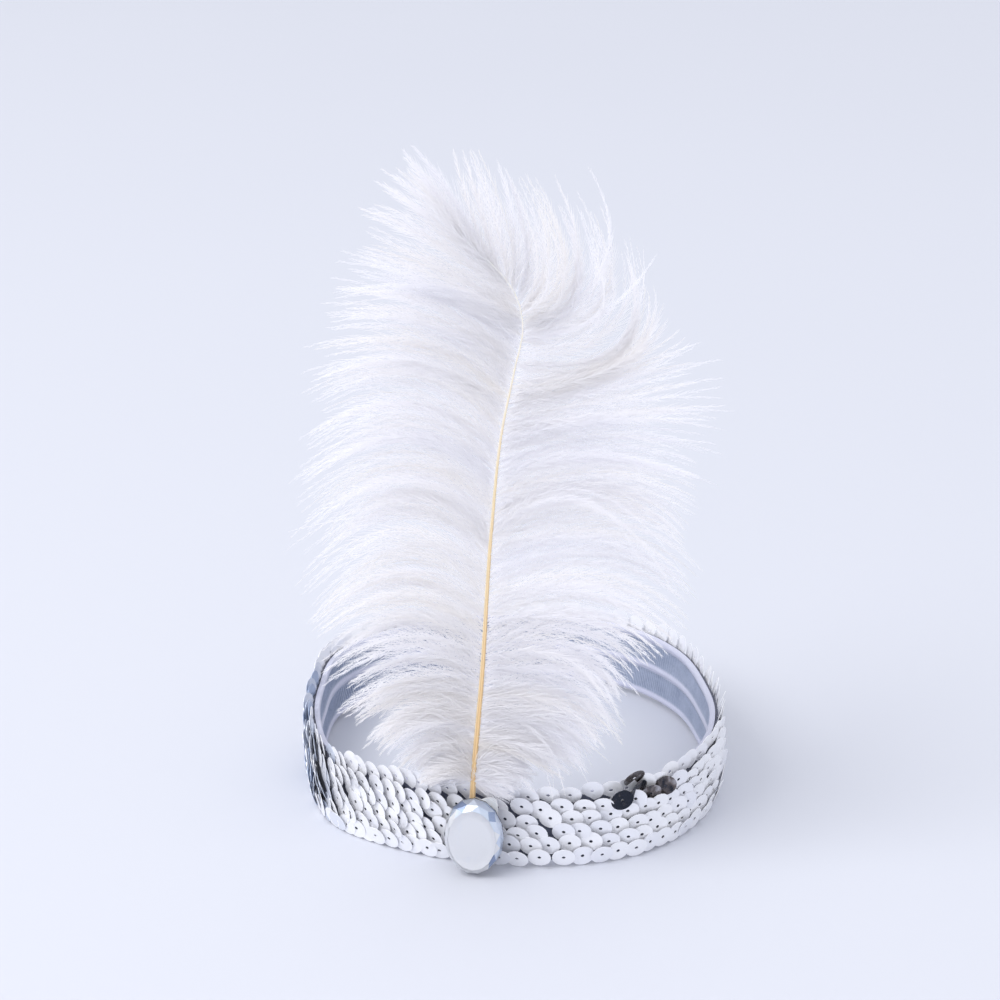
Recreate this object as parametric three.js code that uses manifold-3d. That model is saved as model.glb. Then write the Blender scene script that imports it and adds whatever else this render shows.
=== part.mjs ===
// Flapper feather headband: a closed stretch band covered in overlapping sequins and lined
// with ribbed knit, an oval cut jewel at its front, and one plume that rises behind the jewel.
// Millimetres, +Z up. The band stands on its lower edge and the jewel faces -Y.
import * as THREE from "three";
import { mergeVertices } from "three/addons/utils/BufferGeometryUtils.js";
import Module from "manifold-3d";

const wasm = await Module();
wasm.setup();

// Driving dimensions of the band
const headRadius = 62;
const clearance = 0.3;
const liningThickness = 1.6;
const liningHeight = 21.5;
const liningSteps = 64;
const seamWidth = 2.2;
const seamRise = 0.5;
const bandHeight = 25.5;
const backingThickness = 1;
const sequinDiameter = 6.3;
const sequinPitch = 7;
const sequinRowPitch = 4.8;
const sequinStand = 1.6;
const sequinLip = 0.25;
const stepsPerSequin = 4;

// Driving dimensions of the jewel and of the pad that holds it and the quill
const jewelWidth = 17.6;
const jewelHeight = 24;
const jewelDepth = 4.4;
const jewelFloorGap = 0.5;
const girdleThickness = 0.9;
const jewelFacets = 16;
const padWidth = 12.5;
const padHeight = 18;
const padWeb = 0.6;
const padSides = 20;

// Driving dimensions of the plume
const quillFoot = 8;
const quillDiameter = 2.2;
const quillTipDiameter = 1.1;
const shaftHeight = 187;
const shaftLean = 13.2;
const shaftBow = 4;
const shaftSides = 8;
const shaftSteps = 30;
const barbReach = 58;
const plumeDepth = 30;
const lockWidth = 10;
const lockThickness = 1.8;
const locksPerSide = 24;

// The band's plan as it stands: its reach as a share of the mean radius, by degrees of turn
// from the jewel towards +X
const bandPlan = [
  { turn: 0, reach: 0.975 },
  { turn: 22.5, reach: 1.012 },
  { turn: 45, reach: 1.045 },
  { turn: 67.5, reach: 1.02 },
  { turn: 90, reach: 0.978 },
  { turn: 112.5, reach: 0.957 },
  { turn: 135, reach: 1.01 },
  { turn: 157.5, reach: 1.05 },
  { turn: 180, reach: 1.035 },
  { turn: 202.5, reach: 1.03 },
  { turn: 225, reach: 1.055 },
  { turn: 247.5, reach: 1.062 },
  { turn: 270, reach: 0.985 },
  { turn: 292.5, reach: 0.99 },
  { turn: 315, reach: 1.04 },
  { turn: 337.5, reach: 0.99 },
];

// The shaft from its foot: rise as a share of its height, lean to +X as a share of its lean,
// and bow away from the front as a share of its bow
const shaftForm = [
  { rise: 0, lean: -0.11, bow: 0 },
  { rise: 0.09, lean: -0.07, bow: 0 },
  { rise: 0.29, lean: 0.13, bow: 0.3 },
  { rise: 0.52, lean: 0.3, bow: 0.9 },
  { rise: 0.69, lean: 0.54, bow: 1 },
  { rise: 0.78, lean: 0.8, bow: 0.7 },
  { rise: 0.86, lean: 1, bow: 0.2 },
  { rise: 0.92, lean: 0.76, bow: -0.5 },
  { rise: 0.97, lean: 0.14, bow: -1.1 },
  { rise: 1, lean: -0.36, bow: -1.5 },
];

// Barbs on each side: root as a share of the shaft's length; the middle and the tip, out from
// the root and up from it, as shares of the longest barb's reach
const rightBarbs = [
  { root: 0.19, midOut: 0.34, midUp: -0.02, tipOut: 0.56, tipUp: -0.23 },
  { root: 0.25, midOut: 0.4, midUp: 0.01, tipOut: 0.62, tipUp: -0.17 },
  { root: 0.345, midOut: 0.48, midUp: 0.12, tipOut: 0.82, tipUp: -0.07 },
  { root: 0.455, midOut: 0.55, midUp: 0.17, tipOut: 0.98, tipUp: -0.05 },
  { root: 0.555, midOut: 0.52, midUp: 0.16, tipOut: 0.99, tipUp: 0.07 },
  { root: 0.64, midOut: 0.49, midUp: 0.15, tipOut: 1, tipUp: 0.17 },
  { root: 0.7, midOut: 0.45, midUp: 0.15, tipOut: 0.96, tipUp: 0.35 },
  { root: 0.74, midOut: 0.51, midUp: 0.13, tipOut: 0.64, tipUp: 0.45 },
  { root: 0.79, midOut: 0.42, midUp: 0.18, tipOut: 0.4, tipUp: 0.6 },
  { root: 0.84, midOut: 0.19, midUp: 0.2, tipOut: 0.04, tipUp: 0.69 },
];
const leftBarbs = [
  { root: 0.19, midOut: 0.29, midUp: 0.03, tipOut: 0.48, tipUp: -0.15 },
  { root: 0.25, midOut: 0.33, midUp: 0.06, tipOut: 0.65, tipUp: -0.16 },
  { root: 0.35, midOut: 0.41, midUp: 0.15, tipOut: 0.8, tipUp: -0.12 },
  { root: 0.47, midOut: 0.43, midUp: 0.23, tipOut: 0.93, tipUp: -0.15 },
  { root: 0.575, midOut: 0.44, midUp: 0.25, tipOut: 0.95, tipUp: -0.04 },
  { root: 0.66, midOut: 0.42, midUp: 0.27, tipOut: 0.93, tipUp: 0.12 },
  { root: 0.74, midOut: 0.38, midUp: 0.25, tipOut: 0.88, tipUp: 0.25 },
  { root: 0.83, midOut: 0.33, midUp: 0.23, tipOut: 0.76, tipUp: 0.43 },
  { root: 0.9, midOut: 0.25, midUp: 0.25, tipOut: 0.46, tipUp: 0.5 },
  { root: 0.96, midOut: 0.07, midUp: 0.18, tipOut: 0.01, tipUp: 0.44 },
];

// A lock's width along its length, as shares of its length and of its full width
const lockForm = [
  { along: 0, width: 0.25 },
  { along: 0.2, width: 0.75 },
  { along: 0.45, width: 1 },
  { along: 0.72, width: 0.92 },
  { along: 0.9, width: 0.6 },
  { along: 1, width: 0.15 },
];

// Sizes that follow from the driving dimensions
const overhang = (bandHeight - liningHeight) / 2;
const backingInside = liningThickness + clearance;
const sequinRecess = backingInside + backingThickness;
const sequinProud = sequinRecess + sequinStand;
const sequinRadius = sequinDiameter / 2;
const sequinColumns = Math.round((2 * Math.PI * (headRadius + sequinProud)) / sequinPitch);
const sequinRows = Math.round((bandHeight - sequinDiameter) / sequinRowPitch) + 1;
const rowRise = (bandHeight - sequinDiameter) / (sequinRows - 1);
const frontFace = headRadius * bandPlan[0].reach + sequinProud;
const padBack = frontFace + clearance;
const quillOut = padBack + quillDiameter / 2;
const padThickness = quillDiameter + clearance + padWeb;
const jewelBack = padBack + padThickness + clearance;
const jewelCentre = jewelFloorGap + jewelHeight / 2;

function smooth(before, from, to, after, share) {
  const slopeFrom = (to - before) / 2;
  const slopeTo = (after - from) / 2;
  const square = share * share;
  const cube = square * share;
  return (
    (2 * cube - 3 * square + 1) * from +
    (cube - 2 * square + share) * slopeFrom +
    (3 * square - 2 * cube) * to +
    (cube - square) * slopeTo
  );
}

function bandReach(turn) {
  const count = bandPlan.length;
  const place = (turn / (2 * Math.PI)) * count;
  const row = Math.floor(place);
  const [before, from, to, after] = [-1, 0, 1, 2].map(
    (offset) => bandPlan[(row + offset + count) % count].reach,
  );
  return smooth(before, from, to, after, place - row);
}

function bandPoint(turn, out, up) {
  const radius = headRadius * bandReach(turn) + out;
  return [radius * Math.sin(turn), -radius * Math.cos(turn), up];
}

function closedMesh(points, triangles) {
  const geometry = new THREE.BufferGeometry();
  geometry.setAttribute("position", new THREE.Float32BufferAttribute(points.flat(), 3));
  geometry.setIndex(triangles.flat());
  return geometry;
}

// Sweeps a section round the band; each section runs up its outer side and down its inner side
function bandSweep(steps, sectionAt) {
  const points = [];
  const triangles = [];
  const size = sectionAt(0).length;
  for (let step = 0; step < steps; step++) {
    const turn = (2 * Math.PI * step) / steps;
    for (const { out, up } of sectionAt(step)) {
      points.push(bandPoint(turn, out, up));
    }
  }
  for (let step = 0; step < steps; step++) {
    for (let corner = 0; corner < size; corner++) {
      const next = (corner + 1) % size;
      const here = step * size;
      const there = ((step + 1) % steps) * size;
      triangles.push([here + corner, there + corner, there + next]);
      triangles.push([here + corner, there + next, here + next]);
    }
  }
  return closedMesh(points, triangles);
}

// Woven lining with a raised seam along its top edge, its middle and its bottom edge
function liningGeometry() {
  const bottom = overhang;
  const top = overhang + liningHeight;
  const seams = [top - seamWidth / 2, (top + bottom) / 2, bottom + seamWidth / 2];
  const section = [
    { out: liningThickness, up: bottom },
    { out: liningThickness, up: top },
  ];
  for (const middle of seams) {
    const upper = middle + seamWidth / 2;
    const lower = middle - seamWidth / 2;
    if (upper < top) {
      section.push({ out: 0, up: upper + seamRise });
    }
    section.push({ out: -seamRise, up: upper });
    section.push({ out: -seamRise, up: lower });
    if (lower > bottom) {
      section.push({ out: 0, up: lower - seamRise });
    }
  }
  return bandSweep(liningSteps, () => section);
}

// How far a sequin's round edge reaches above its centre, by steps from its middle
function sequinArc(step, row) {
  const stagger = (row % 2) * (stepsPerSequin / 2);
  const place = (step + stagger) % stepsPerSequin;
  const away = Math.min(place, stepsPerSequin - place) / (stepsPerSequin / 2);
  const narrowest = 0.35;
  return sequinRadius * Math.sqrt(Math.max(1 - away * away, narrowest * narrowest));
}

// Backing with rows of sequins on it, each standing proud at its upper edge over the row above
function sequinBandGeometry() {
  const sectionAt = (step) => {
    const section = [{ out: sequinRecess, up: sequinRadius - sequinArc(step, 0) }];
    for (let row = 0; row < sequinRows; row++) {
      const edge = sequinRadius + row * rowRise + sequinArc(step, row);
      section.push({ out: sequinProud, up: edge });
      if (row < sequinRows - 1) {
        section.push({ out: sequinRecess, up: edge + sequinLip });
      }
    }
    section.push({ out: backingInside, up: overhang + liningHeight });
    section.push({ out: backingInside, up: overhang });
    return section;
  };
  return bandSweep(sequinColumns * stepsPerSequin, sectionAt);
}

// Joins rings of equal size into one closed solid with flat ends
function loftRings(rings) {
  const sides = rings[0].length;
  const triangles = [];
  for (let ring = 0; ring < rings.length - 1; ring++) {
    for (let side = 0; side < sides; side++) {
      const next = (side + 1) % sides;
      const low = ring * sides;
      const high = low + sides;
      triangles.push([low + side, low + next, high + next]);
      triangles.push([low + side, high + next, high + side]);
    }
  }
  const last = (rings.length - 1) * sides;
  for (let side = 1; side < sides - 1; side++) {
    triangles.push([0, side + 1, side]);
    triangles.push([last, last + side, last + side + 1]);
  }
  return closedMesh(rings.flat(), triangles);
}

// Oval ring that faces -Y, counted so that a loft towards -Y faces outwards
function ovalRing(sides, width, height, distance, centre, halfStep = 0) {
  return Array.from({ length: sides }, (_, side) => {
    const angle = (2 * Math.PI * (side + halfStep)) / sides;
    return [
      (width / 2) * Math.cos(angle),
      -distance,
      centre + (height / 2) * Math.sin(angle),
    ];
  });
}

// Flat-backed oval stone: girdle, two rings of crown facets and a flat table
function jewelGeometry() {
  const crownDepth = jewelDepth - girdleThickness;
  const crown = [
    { size: 1, depth: 0, halfStep: 0 },
    { size: 0.9, depth: 0.58, halfStep: 0.5 },
    { size: 0.73, depth: 1, halfStep: 0 },
  ];
  const rings = [ovalRing(jewelFacets, jewelWidth, jewelHeight, jewelBack, jewelCentre)];
  for (const { size, depth, halfStep } of crown) {
    const distance = jewelBack + girdleThickness + crownDepth * depth;
    const inset = (1 - size) * jewelWidth;
    rings.push(ovalRing(
      jewelFacets, jewelWidth - inset, jewelHeight - inset, distance, jewelCentre, halfStep,
    ));
  }
  return loftRings(rings);
}

function shaftCurve() {
  const points = shaftForm.map(({ rise, lean, bow }) => new THREE.Vector3(
    shaftLean * lean,
    shaftBow * bow - quillOut,
    quillFoot + shaftHeight * rise,
  ));
  return new THREE.CatmullRomCurve3(points, false, "centripetal");
}

// Tapered tube along the shaft; grown widens it, for the groove that holds it
function shaftGeometry(curve, grown = 0) {
  const rings = [];
  for (let step = 0; step <= shaftSteps; step++) {
    const share = step / shaftSteps;
    const centre = curve.getPointAt(share);
    const along = curve.getTangentAt(share);
    const across = new THREE.Vector3().crossVectors(new THREE.Vector3(0, 1, 0), along).normalize();
    const through = new THREE.Vector3().crossVectors(along, across);
    const radius = THREE.MathUtils.lerp(quillDiameter, quillTipDiameter, share) / 2 + grown;
    rings.push(Array.from({ length: shaftSides }, (_, side) => {
      const angle = (2 * Math.PI * (side + 0.5)) / shaftSides;
      return centre.clone()
        .addScaledVector(across, radius * Math.cos(angle))
        .addScaledVector(through, radius * Math.sin(angle))
        .toArray();
    }));
  }
  return loftRings(rings);
}

// A barb's measures at any place down its side's table, read between two rows
function barbAt(rows, place) {
  const row = Math.min(Math.floor(place), rows.length - 2);
  const between = (name) => THREE.MathUtils.lerp(rows[row][name], rows[row + 1][name], place - row);
  return Object.fromEntries(Object.keys(rows[row]).map((name) => [name, between(name)]));
}

// One lock of barbs: a flat tapered leaf from the shaft out to its tip
function lockGeometry(curve, barb, side, layer) {
  const { root, midOut, midUp, tipOut, tipUp } = barb;
  const start = curve.getPointAt(root);
  const place = (out, up, fore) => start.clone().add(
    new THREE.Vector3(side * out * barbReach, layer * fore * plumeDepth, up * barbReach),
  );
  const middleFore = 0.26;
  const tipFore = 0.42;
  const path = new THREE.CatmullRomCurve3(
    [start, place(midOut, midUp, middleFore), place(tipOut, tipUp, tipFore)],
  );
  const rings = lockForm.map(({ along, width }) => {
    const centre = path.getPoint(along);
    const forward = path.getTangent(along);
    const across = new THREE.Vector3().crossVectors(new THREE.Vector3(0, 1, 0), forward).normalize();
    const through = new THREE.Vector3().crossVectors(forward, across);
    const halfWidth = (lockWidth * width) / 2;
    const halfThickness = (lockThickness * Math.sqrt(width)) / 2;
    const corner = (direction, reach) => centre.clone().addScaledVector(direction, reach).toArray();
    return [
      corner(across, halfWidth),
      corner(through, halfThickness),
      corner(across, -halfWidth),
      corner(through, -halfThickness),
    ];
  });
  return loftRings(rings);
}

function toSolid(geometry) {
  const bare = geometry.clone();
  bare.deleteAttribute("normal");
  bare.deleteAttribute("uv");
  const merged = mergeVertices(bare, 1e-5);
  return new wasm.Manifold(new wasm.Mesh({
    numProp: 3,
    vertProperties: new Float32Array(merged.attributes.position.array),
    triVerts: new Uint32Array(merged.index.array),
  }));
}

function toGeometry(solid) {
  const mesh = solid.getMesh();
  const geometry = new THREE.BufferGeometry();
  geometry.setAttribute("position", new THREE.BufferAttribute(mesh.vertProperties, 3));
  geometry.setIndex(new THREE.BufferAttribute(mesh.triVerts, 1));
  return geometry;
}

// Shaft with two fans of locks on each side, one curving to the front and one to the back
function plumeGeometry(curve) {
  let plume = toSolid(shaftGeometry(curve));
  for (const { side, rows } of [{ side: 1, rows: rightBarbs }, { side: -1, rows: leftBarbs }]) {
    for (let lock = 0; lock < locksPerSide; lock++) {
      const layer = lock % 2 === 0 ? 1 : -1;
      const barb = barbAt(rows, ((rows.length - 1) * lock) / (locksPerSide - 1));
      plume = plume.add(toSolid(lockGeometry(curve, barb, side, layer)));
    }
  }
  return toGeometry(plume);
}

// Oval pad between the sequins and the jewel, grooved for the quill
function padGeometry(curve) {
  const pad = loftRings([
    ovalRing(padSides, padWidth, padHeight, padBack, jewelCentre),
    ovalRing(padSides, padWidth, padHeight, padBack + padThickness, jewelCentre),
  ]);
  return toGeometry(toSolid(pad).subtract(toSolid(shaftGeometry(curve, clearance))));
}

function namedMesh(name, geometry, color, roughness, metalness) {
  const material = new THREE.MeshStandardMaterial({ color, roughness, metalness });
  const mesh = new THREE.Mesh(geometry, material);
  mesh.name = name;
  return mesh;
}

const shaft = shaftCurve();
const group = new THREE.Group();
group.add(
  namedMesh("band_lining", liningGeometry(), 0xb4bccb, 0.85, 0),
  namedMesh("sequin_band", sequinBandGeometry(), 0xe4e6f0, 0.25, 0.4),
  namedMesh("glue_pad", padGeometry(shaft), 0xe9e6e0, 0.5, 0),
  namedMesh("jewel", jewelGeometry(), 0xdce4f4, 0.08, 0),
  namedMesh("plume", plumeGeometry(shaft), 0xf3f1f0, 0.8, 0),
);

// The origin is under the middle of the whole headband, on the surface that it stands on
const box = new THREE.Box3().setFromObject(group);
const centre = box.getCenter(new THREE.Vector3());
group.position.set(-centre.x, -centre.y, -box.min.z);

export default group;
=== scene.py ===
"""Flapper feather headband: sequins, ribbed lining, cut stone and plume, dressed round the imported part."""
import logging
import math
from collections.abc import Callable, Sequence
from dataclasses import dataclass
from enum import Enum

import bmesh
import bpy
import numpy as np
from mathutils import Matrix, Vector


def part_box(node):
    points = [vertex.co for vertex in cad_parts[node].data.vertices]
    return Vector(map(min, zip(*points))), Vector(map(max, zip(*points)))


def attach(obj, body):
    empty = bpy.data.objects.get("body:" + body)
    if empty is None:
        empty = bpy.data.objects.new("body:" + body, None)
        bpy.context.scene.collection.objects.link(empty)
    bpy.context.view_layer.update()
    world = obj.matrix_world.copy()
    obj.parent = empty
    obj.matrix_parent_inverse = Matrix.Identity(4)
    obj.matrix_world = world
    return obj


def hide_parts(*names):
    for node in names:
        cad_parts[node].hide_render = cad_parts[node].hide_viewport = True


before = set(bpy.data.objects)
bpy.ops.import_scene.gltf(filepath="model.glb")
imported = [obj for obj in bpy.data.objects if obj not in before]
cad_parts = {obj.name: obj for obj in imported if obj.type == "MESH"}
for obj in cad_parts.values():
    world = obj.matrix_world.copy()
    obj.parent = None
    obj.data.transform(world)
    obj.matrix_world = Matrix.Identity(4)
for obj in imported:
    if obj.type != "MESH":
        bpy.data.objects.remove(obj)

LOG = logging.getLogger("headband")
MM = 0.001
MERGE = 0.01 * MM
TINY = 1e-12
BODY = "root"
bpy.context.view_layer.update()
Colour = tuple[float, float, float]


class Side(Enum):
    """The two sides of the plume; the value is the way along X."""

    RIGHT = 1
    LEFT = -1


class Face(Enum):
    """The two material slots of a sequin."""

    SILVERED = 0
    UNDERSIDE = 1


# Shader building


class Wire:
    """One output of a shader node, with arithmetic that adds Math nodes."""

    def __init__(self, board: "Board", socket: bpy.types.NodeSocket) -> None:
        """Holds the socket and the board that new nodes go on.

        Args:
            board: the material's node board.
            socket: the output that this wire carries.
        """
        self.board = board
        self.socket = socket

    def maths(self, operation: str, first: "Wire | float", second: "Wire | float") -> "Wire":
        """Adds one Math node.

        Args:
            operation: the node's operation.
            first: its first value.
            second: its second value.

        Returns:
            The node's result.
        """
        return self.board.add("ShaderNodeMath", {"operation": operation}, {0: first, 1: second})

    def __add__(self, other: "Wire | float") -> "Wire":
        """Sum of the two."""
        return self.maths("ADD", self, other)

    def __radd__(self, other: "Wire | float") -> "Wire":
        """Sum, with the wire on the right."""
        return self.maths("ADD", other, self)

    def __sub__(self, other: "Wire | float") -> "Wire":
        """Difference of the two."""
        return self.maths("SUBTRACT", self, other)

    def __rsub__(self, other: "Wire | float") -> "Wire":
        """Difference, with the wire on the right."""
        return self.maths("SUBTRACT", other, self)

    def __mul__(self, other: "Wire | float") -> "Wire":
        """Product of the two."""
        return self.maths("MULTIPLY", self, other)

    def __rmul__(self, other: "Wire | float") -> "Wire":
        """Product, with the wire on the right."""
        return self.maths("MULTIPLY", other, self)


class Board:
    """The node board of one new material, with its Principled shader."""

    def __init__(self, name: str) -> None:
        """Makes the material with an empty board.

        Args:
            name: the material's name.
        """
        self.material = bpy.data.materials.new(name)
        self.material.use_nodes = True
        self.tree = self.material.node_tree
        self.tree.nodes.clear()
        self.output = self.tree.nodes.new("ShaderNodeOutputMaterial")
        self.skin = self.tree.nodes.new("ShaderNodeBsdfPrincipled")
        self.finish(self.skin.outputs["BSDF"])

    def add(self, kind: str, settings: dict, sockets: dict, output: int | str = 0) -> Wire:
        """Adds any node.

        Args:
            kind: the node's type.
            settings: its own settings; stops gives a ramp's places and colours.
            sockets: a value or a wire for each input, by name or number.
            output: the output to carry on from.

        Returns:
            That output.
        """
        node = self.tree.nodes.new(kind)
        for name, value in settings.items():
            if name == "stops":
                self.set_stops(node.color_ramp, value)
            else:
                setattr(node, name, value)
        for name, value in sockets.items():
            self.feed(node.inputs[name], value)
        return Wire(self, node.outputs[output])

    @staticmethod
    def set_stops(ramp: bpy.types.ColorRamp, stops: Sequence[tuple[float, Colour]]) -> None:
        """Gives a ramp its stops.

        Args:
            ramp: the ramp of a new node.
            stops: a place and a colour for each.
        """
        while len(ramp.elements) < len(stops):
            ramp.elements.new(1.0)
        for element, (place, colour) in zip(ramp.elements, stops):
            element.position = place
            element.color = (*colour, 1.0)

    def feed(self, socket: bpy.types.NodeSocket, value: "Wire | float | Sequence[float]") -> None:
        """Links a wire to an input, or sets the input's own value.

        Args:
            socket: the input.
            value: what it gets; a colour may leave out its alpha.
        """
        if isinstance(value, Wire):
            self.tree.links.new(value.socket, socket)
        elif socket.type == "RGBA":
            socket.default_value = (*value, 1.0)[:4]
        else:
            socket.default_value = value

    def dress(self, **sockets: "Wire | float | Sequence[float]") -> None:
        """Feeds the Principled shader's inputs, named with underscores for spaces.

        Args:
            **sockets: a value or a wire for each input.
        """
        for name, value in sockets.items():
            self.feed(self.skin.inputs[name.replace("_", " ")], value)

    def finish(self, surface: bpy.types.NodeSocket) -> None:
        """Links a shader to the material's output."""
        self.tree.links.new(surface, self.output.inputs["Surface"])

    def place(self) -> Wire:
        """The point on the surface, in Object coordinates."""
        return self.add("ShaderNodeTexCoord", {}, {}, "Object")

    def attribute(self, name: str) -> Wire:
        """A number that the mesh holds under this name."""
        return self.add("ShaderNodeAttribute", {"attribute_name": name}, {}, "Fac")

    def noise(self, scale: float, detail: float = 3.0, vector: Wire | None = None) -> Wire:
        """Cloudy noise from 0 to 1.

        Args:
            scale: cycles per metre.
            detail: octaves.
            vector: where to read it; Object coordinates if none.

        Returns:
            The noise's value.
        """
        where = vector or self.place()
        return self.add("ShaderNodeTexNoise", {}, {"Vector": where, "Scale": scale, "Detail": detail})

    def stretched(self, scale: Colour) -> Wire:
        """Object coordinates scaled by a factor for each axis."""
        return self.add("ShaderNodeMapping", {}, {"Vector": self.place(), "Scale": scale})

    def ramp(self, value: Wire, stops: Sequence[tuple[float, Colour]]) -> Wire:
        """A colour read from stops by a value."""
        return self.add("ShaderNodeValToRGB", {"stops": stops}, {"Fac": value})

    def bump(self, height: Wire, distance: float) -> Wire:
        """A normal raised by a height, at most by a distance in metres."""
        return self.add("ShaderNodeBump", {}, {"Height": height, "Distance": distance})


# Finishes


@dataclass(frozen=True)
class SequinFilm:
    """Satin silver film, a little lighter or darker from one sequin to the next.

    A tint up to 1 is silver, and from there to 2 it goes over to slate, a painted slate reflection on the
    sequins of the band's left side.
    """

    name: str = "sequin_film_silver"
    pale: Colour = (0.96, 0.965, 0.995)
    dim: Colour = (0.90, 0.91, 0.965)
    slate: Colour = (0.38, 0.46, 0.62)
    metal: float = 0.3
    roughness: float = 0.28
    smeared: float = 0.10
    smear_scale: float = 900.0

    def material(self) -> bpy.types.Material:
        """The film's shader."""
        board = Board(self.name)
        half_tint = board.attribute("tint") * 0.5
        smear = board.noise(self.smear_scale, 2.0)
        # dim to pale is each sequin's own tone; slate is painted slate reflection
        stops = [(0.0, self.dim), (0.18, self.pale), (0.5, self.pale), (0.85, self.slate)]
        board.dress(
            Base_Color=board.ramp(half_tint, stops),
            Roughness=self.roughness + self.smeared * smear,
            Metallic=self.metal,
        )
        return board.material


@dataclass(frozen=True)
class FilmUnderside:
    """The unsilvered back of the film, which shows dark in the gaps."""

    name: str = "sequin_film_underside"
    deep: Colour = (0.17, 0.22, 0.33)
    grey: Colour = (0.48, 0.57, 0.74)
    metal: float = 0.3
    roughness: float = 0.3
    smeared: float = 0.12
    smear_scale: float = 700.0

    def material(self) -> bpy.types.Material:
        """The underside's shader."""
        board = Board(self.name)
        # a tint above 1, on the band's left side, lifts the underside to bluish grey: painted slate
        # reflection
        tint = board.attribute("tint")
        board.dress(
            Base_Color=board.ramp(tint, [(0.0, self.deep), (1.0, self.grey)]),
            Roughness=self.roughness + self.smeared * board.noise(self.smear_scale),
            Metallic=self.metal,
        )
        return board.material


@dataclass(frozen=True)
class TurnedFilmDarkReflection:
    """The few sequins that have turned over: their dark, brown and streaked colour is a painted dark
    reflection, with a painted glint at the light end.
    """

    name: str = "sequin_film_turned"
    black: Colour = (0.012, 0.016, 0.028)
    brown: Colour = (0.14, 0.12, 0.118)
    glint: Colour = (0.62, 0.62, 0.68)
    metal: float = 0.6
    roughness: float = 0.16
    smeared: float = 0.2
    tinted: float = 0.75
    streaked: float = 1.6
    streak_scale: float = 420.0
    streak_stretch: Colour = (1.0, 1.0, 0.6)

    def material(self) -> bpy.types.Material:
        """The turned film's shader."""
        board = Board(self.name)
        tint = board.attribute("tint")
        streaks = board.noise(self.streak_scale, 3.0, board.stretched(self.streak_stretch))
        # painted dark reflection: black through brown, with a painted glint at the light end
        shade = tint * self.tinted + (streaks - 0.5) * self.streaked
        board.dress(
            Base_Color=board.ramp(shade, [(0.15, self.black), (0.5, self.brown), (0.95, self.glint)]),
            Roughness=self.roughness + self.smeared * streaks,
            Metallic=self.metal,
        )
        return board.material


@dataclass(frozen=True)
class StretchCloth:
    """Woven stretch cloth, lighter on its seams, with painted light on its rib crests and painted shade in
    the valleys between.
    """

    name: str
    shade: Colour
    light: Colour
    seam: Colour
    grain: float = 2600.0
    clouding: float = 140.0
    weave: Colour = (1.0, 1.0, 0.35)
    rib_painted_light: float = 0.22
    seam_light: float = 1.12
    roughness: float = 0.8
    sheen: float = 0.25
    nap: float = 0.12 * MM

    def material(self) -> bpy.types.Material:
        """The cloth's shader; the mesh's seam attribute is 1 along its sewn edges."""
        board = Board(self.name)
        threads = board.noise(self.grain, 4.0, board.stretched(self.weave))
        clouds = board.noise(self.clouding, 3.0)
        # painted light on the rib crests and painted shade in their valleys
        crest = board.attribute("rib") * self.rib_painted_light
        body = board.ramp(threads * 0.5 + clouds * 0.5 + crest, [(0.3, self.shade), (0.68, self.light)])
        lighter = tuple(min(1.0, part * self.seam_light) for part in self.seam)
        trim = board.ramp(threads, [(0.2, self.seam), (0.8, lighter)])
        mixed = board.add(
            "ShaderNodeMix",
            {"data_type": "RGBA"},
            {"Factor": board.attribute("seam"), 6: body, 7: trim},
            2,
        )
        board.dress(
            Base_Color=mixed,
            Roughness=self.roughness,
            Sheen_Weight=self.sheen,
            Normal=board.bump(threads, self.nap),
        )
        return board.material


@dataclass(frozen=True)
class ClearAcrylic:
    """The stone's clear body."""

    name: str = "stone_clear_acrylic"
    tone: Colour = (0.995, 0.997, 1.0)
    bend: float = 1.49
    roughness: float = 0.02
    smeared: float = 0.02
    smear_scale: float = 300.0

    def material(self) -> bpy.types.Material:
        """The clear body's shader."""
        board = Board(self.name)
        board.dress(
            Base_Color=self.tone,
            Roughness=self.roughness + self.smeared * board.noise(self.smear_scale),
            IOR=self.bend,
            Transmission_Weight=1.0,
        )
        return board.material


@dataclass(frozen=True)
class MirrorFoil:
    """The mirrored back of the stone, whose facets carry painted reflections: pale, sky blue and indigo."""

    name: str = "stone_mirror_foil"
    pale: Colour = (0.985, 0.99, 1.0)
    sky: Colour = (0.74, 0.83, 0.98)
    indigo: Colour = (0.20, 0.28, 0.50)
    roughness: float = 0.3
    smeared: float = 0.1
    smear_scale: float = 500.0

    def material(self) -> bpy.types.Material:
        """The foil's shader; the mesh's shade attribute picks each facet's painted reflection."""
        board = Board(self.name)
        shade = board.attribute("shade")
        board.dress(
            Base_Color=board.ramp(shade, [(0.0, self.indigo), (0.45, self.sky), (0.9, self.pale)]),
            Roughness=self.roughness + self.smeared * board.noise(self.smear_scale),
            Metallic=1.0,
        )
        return board.material


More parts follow.
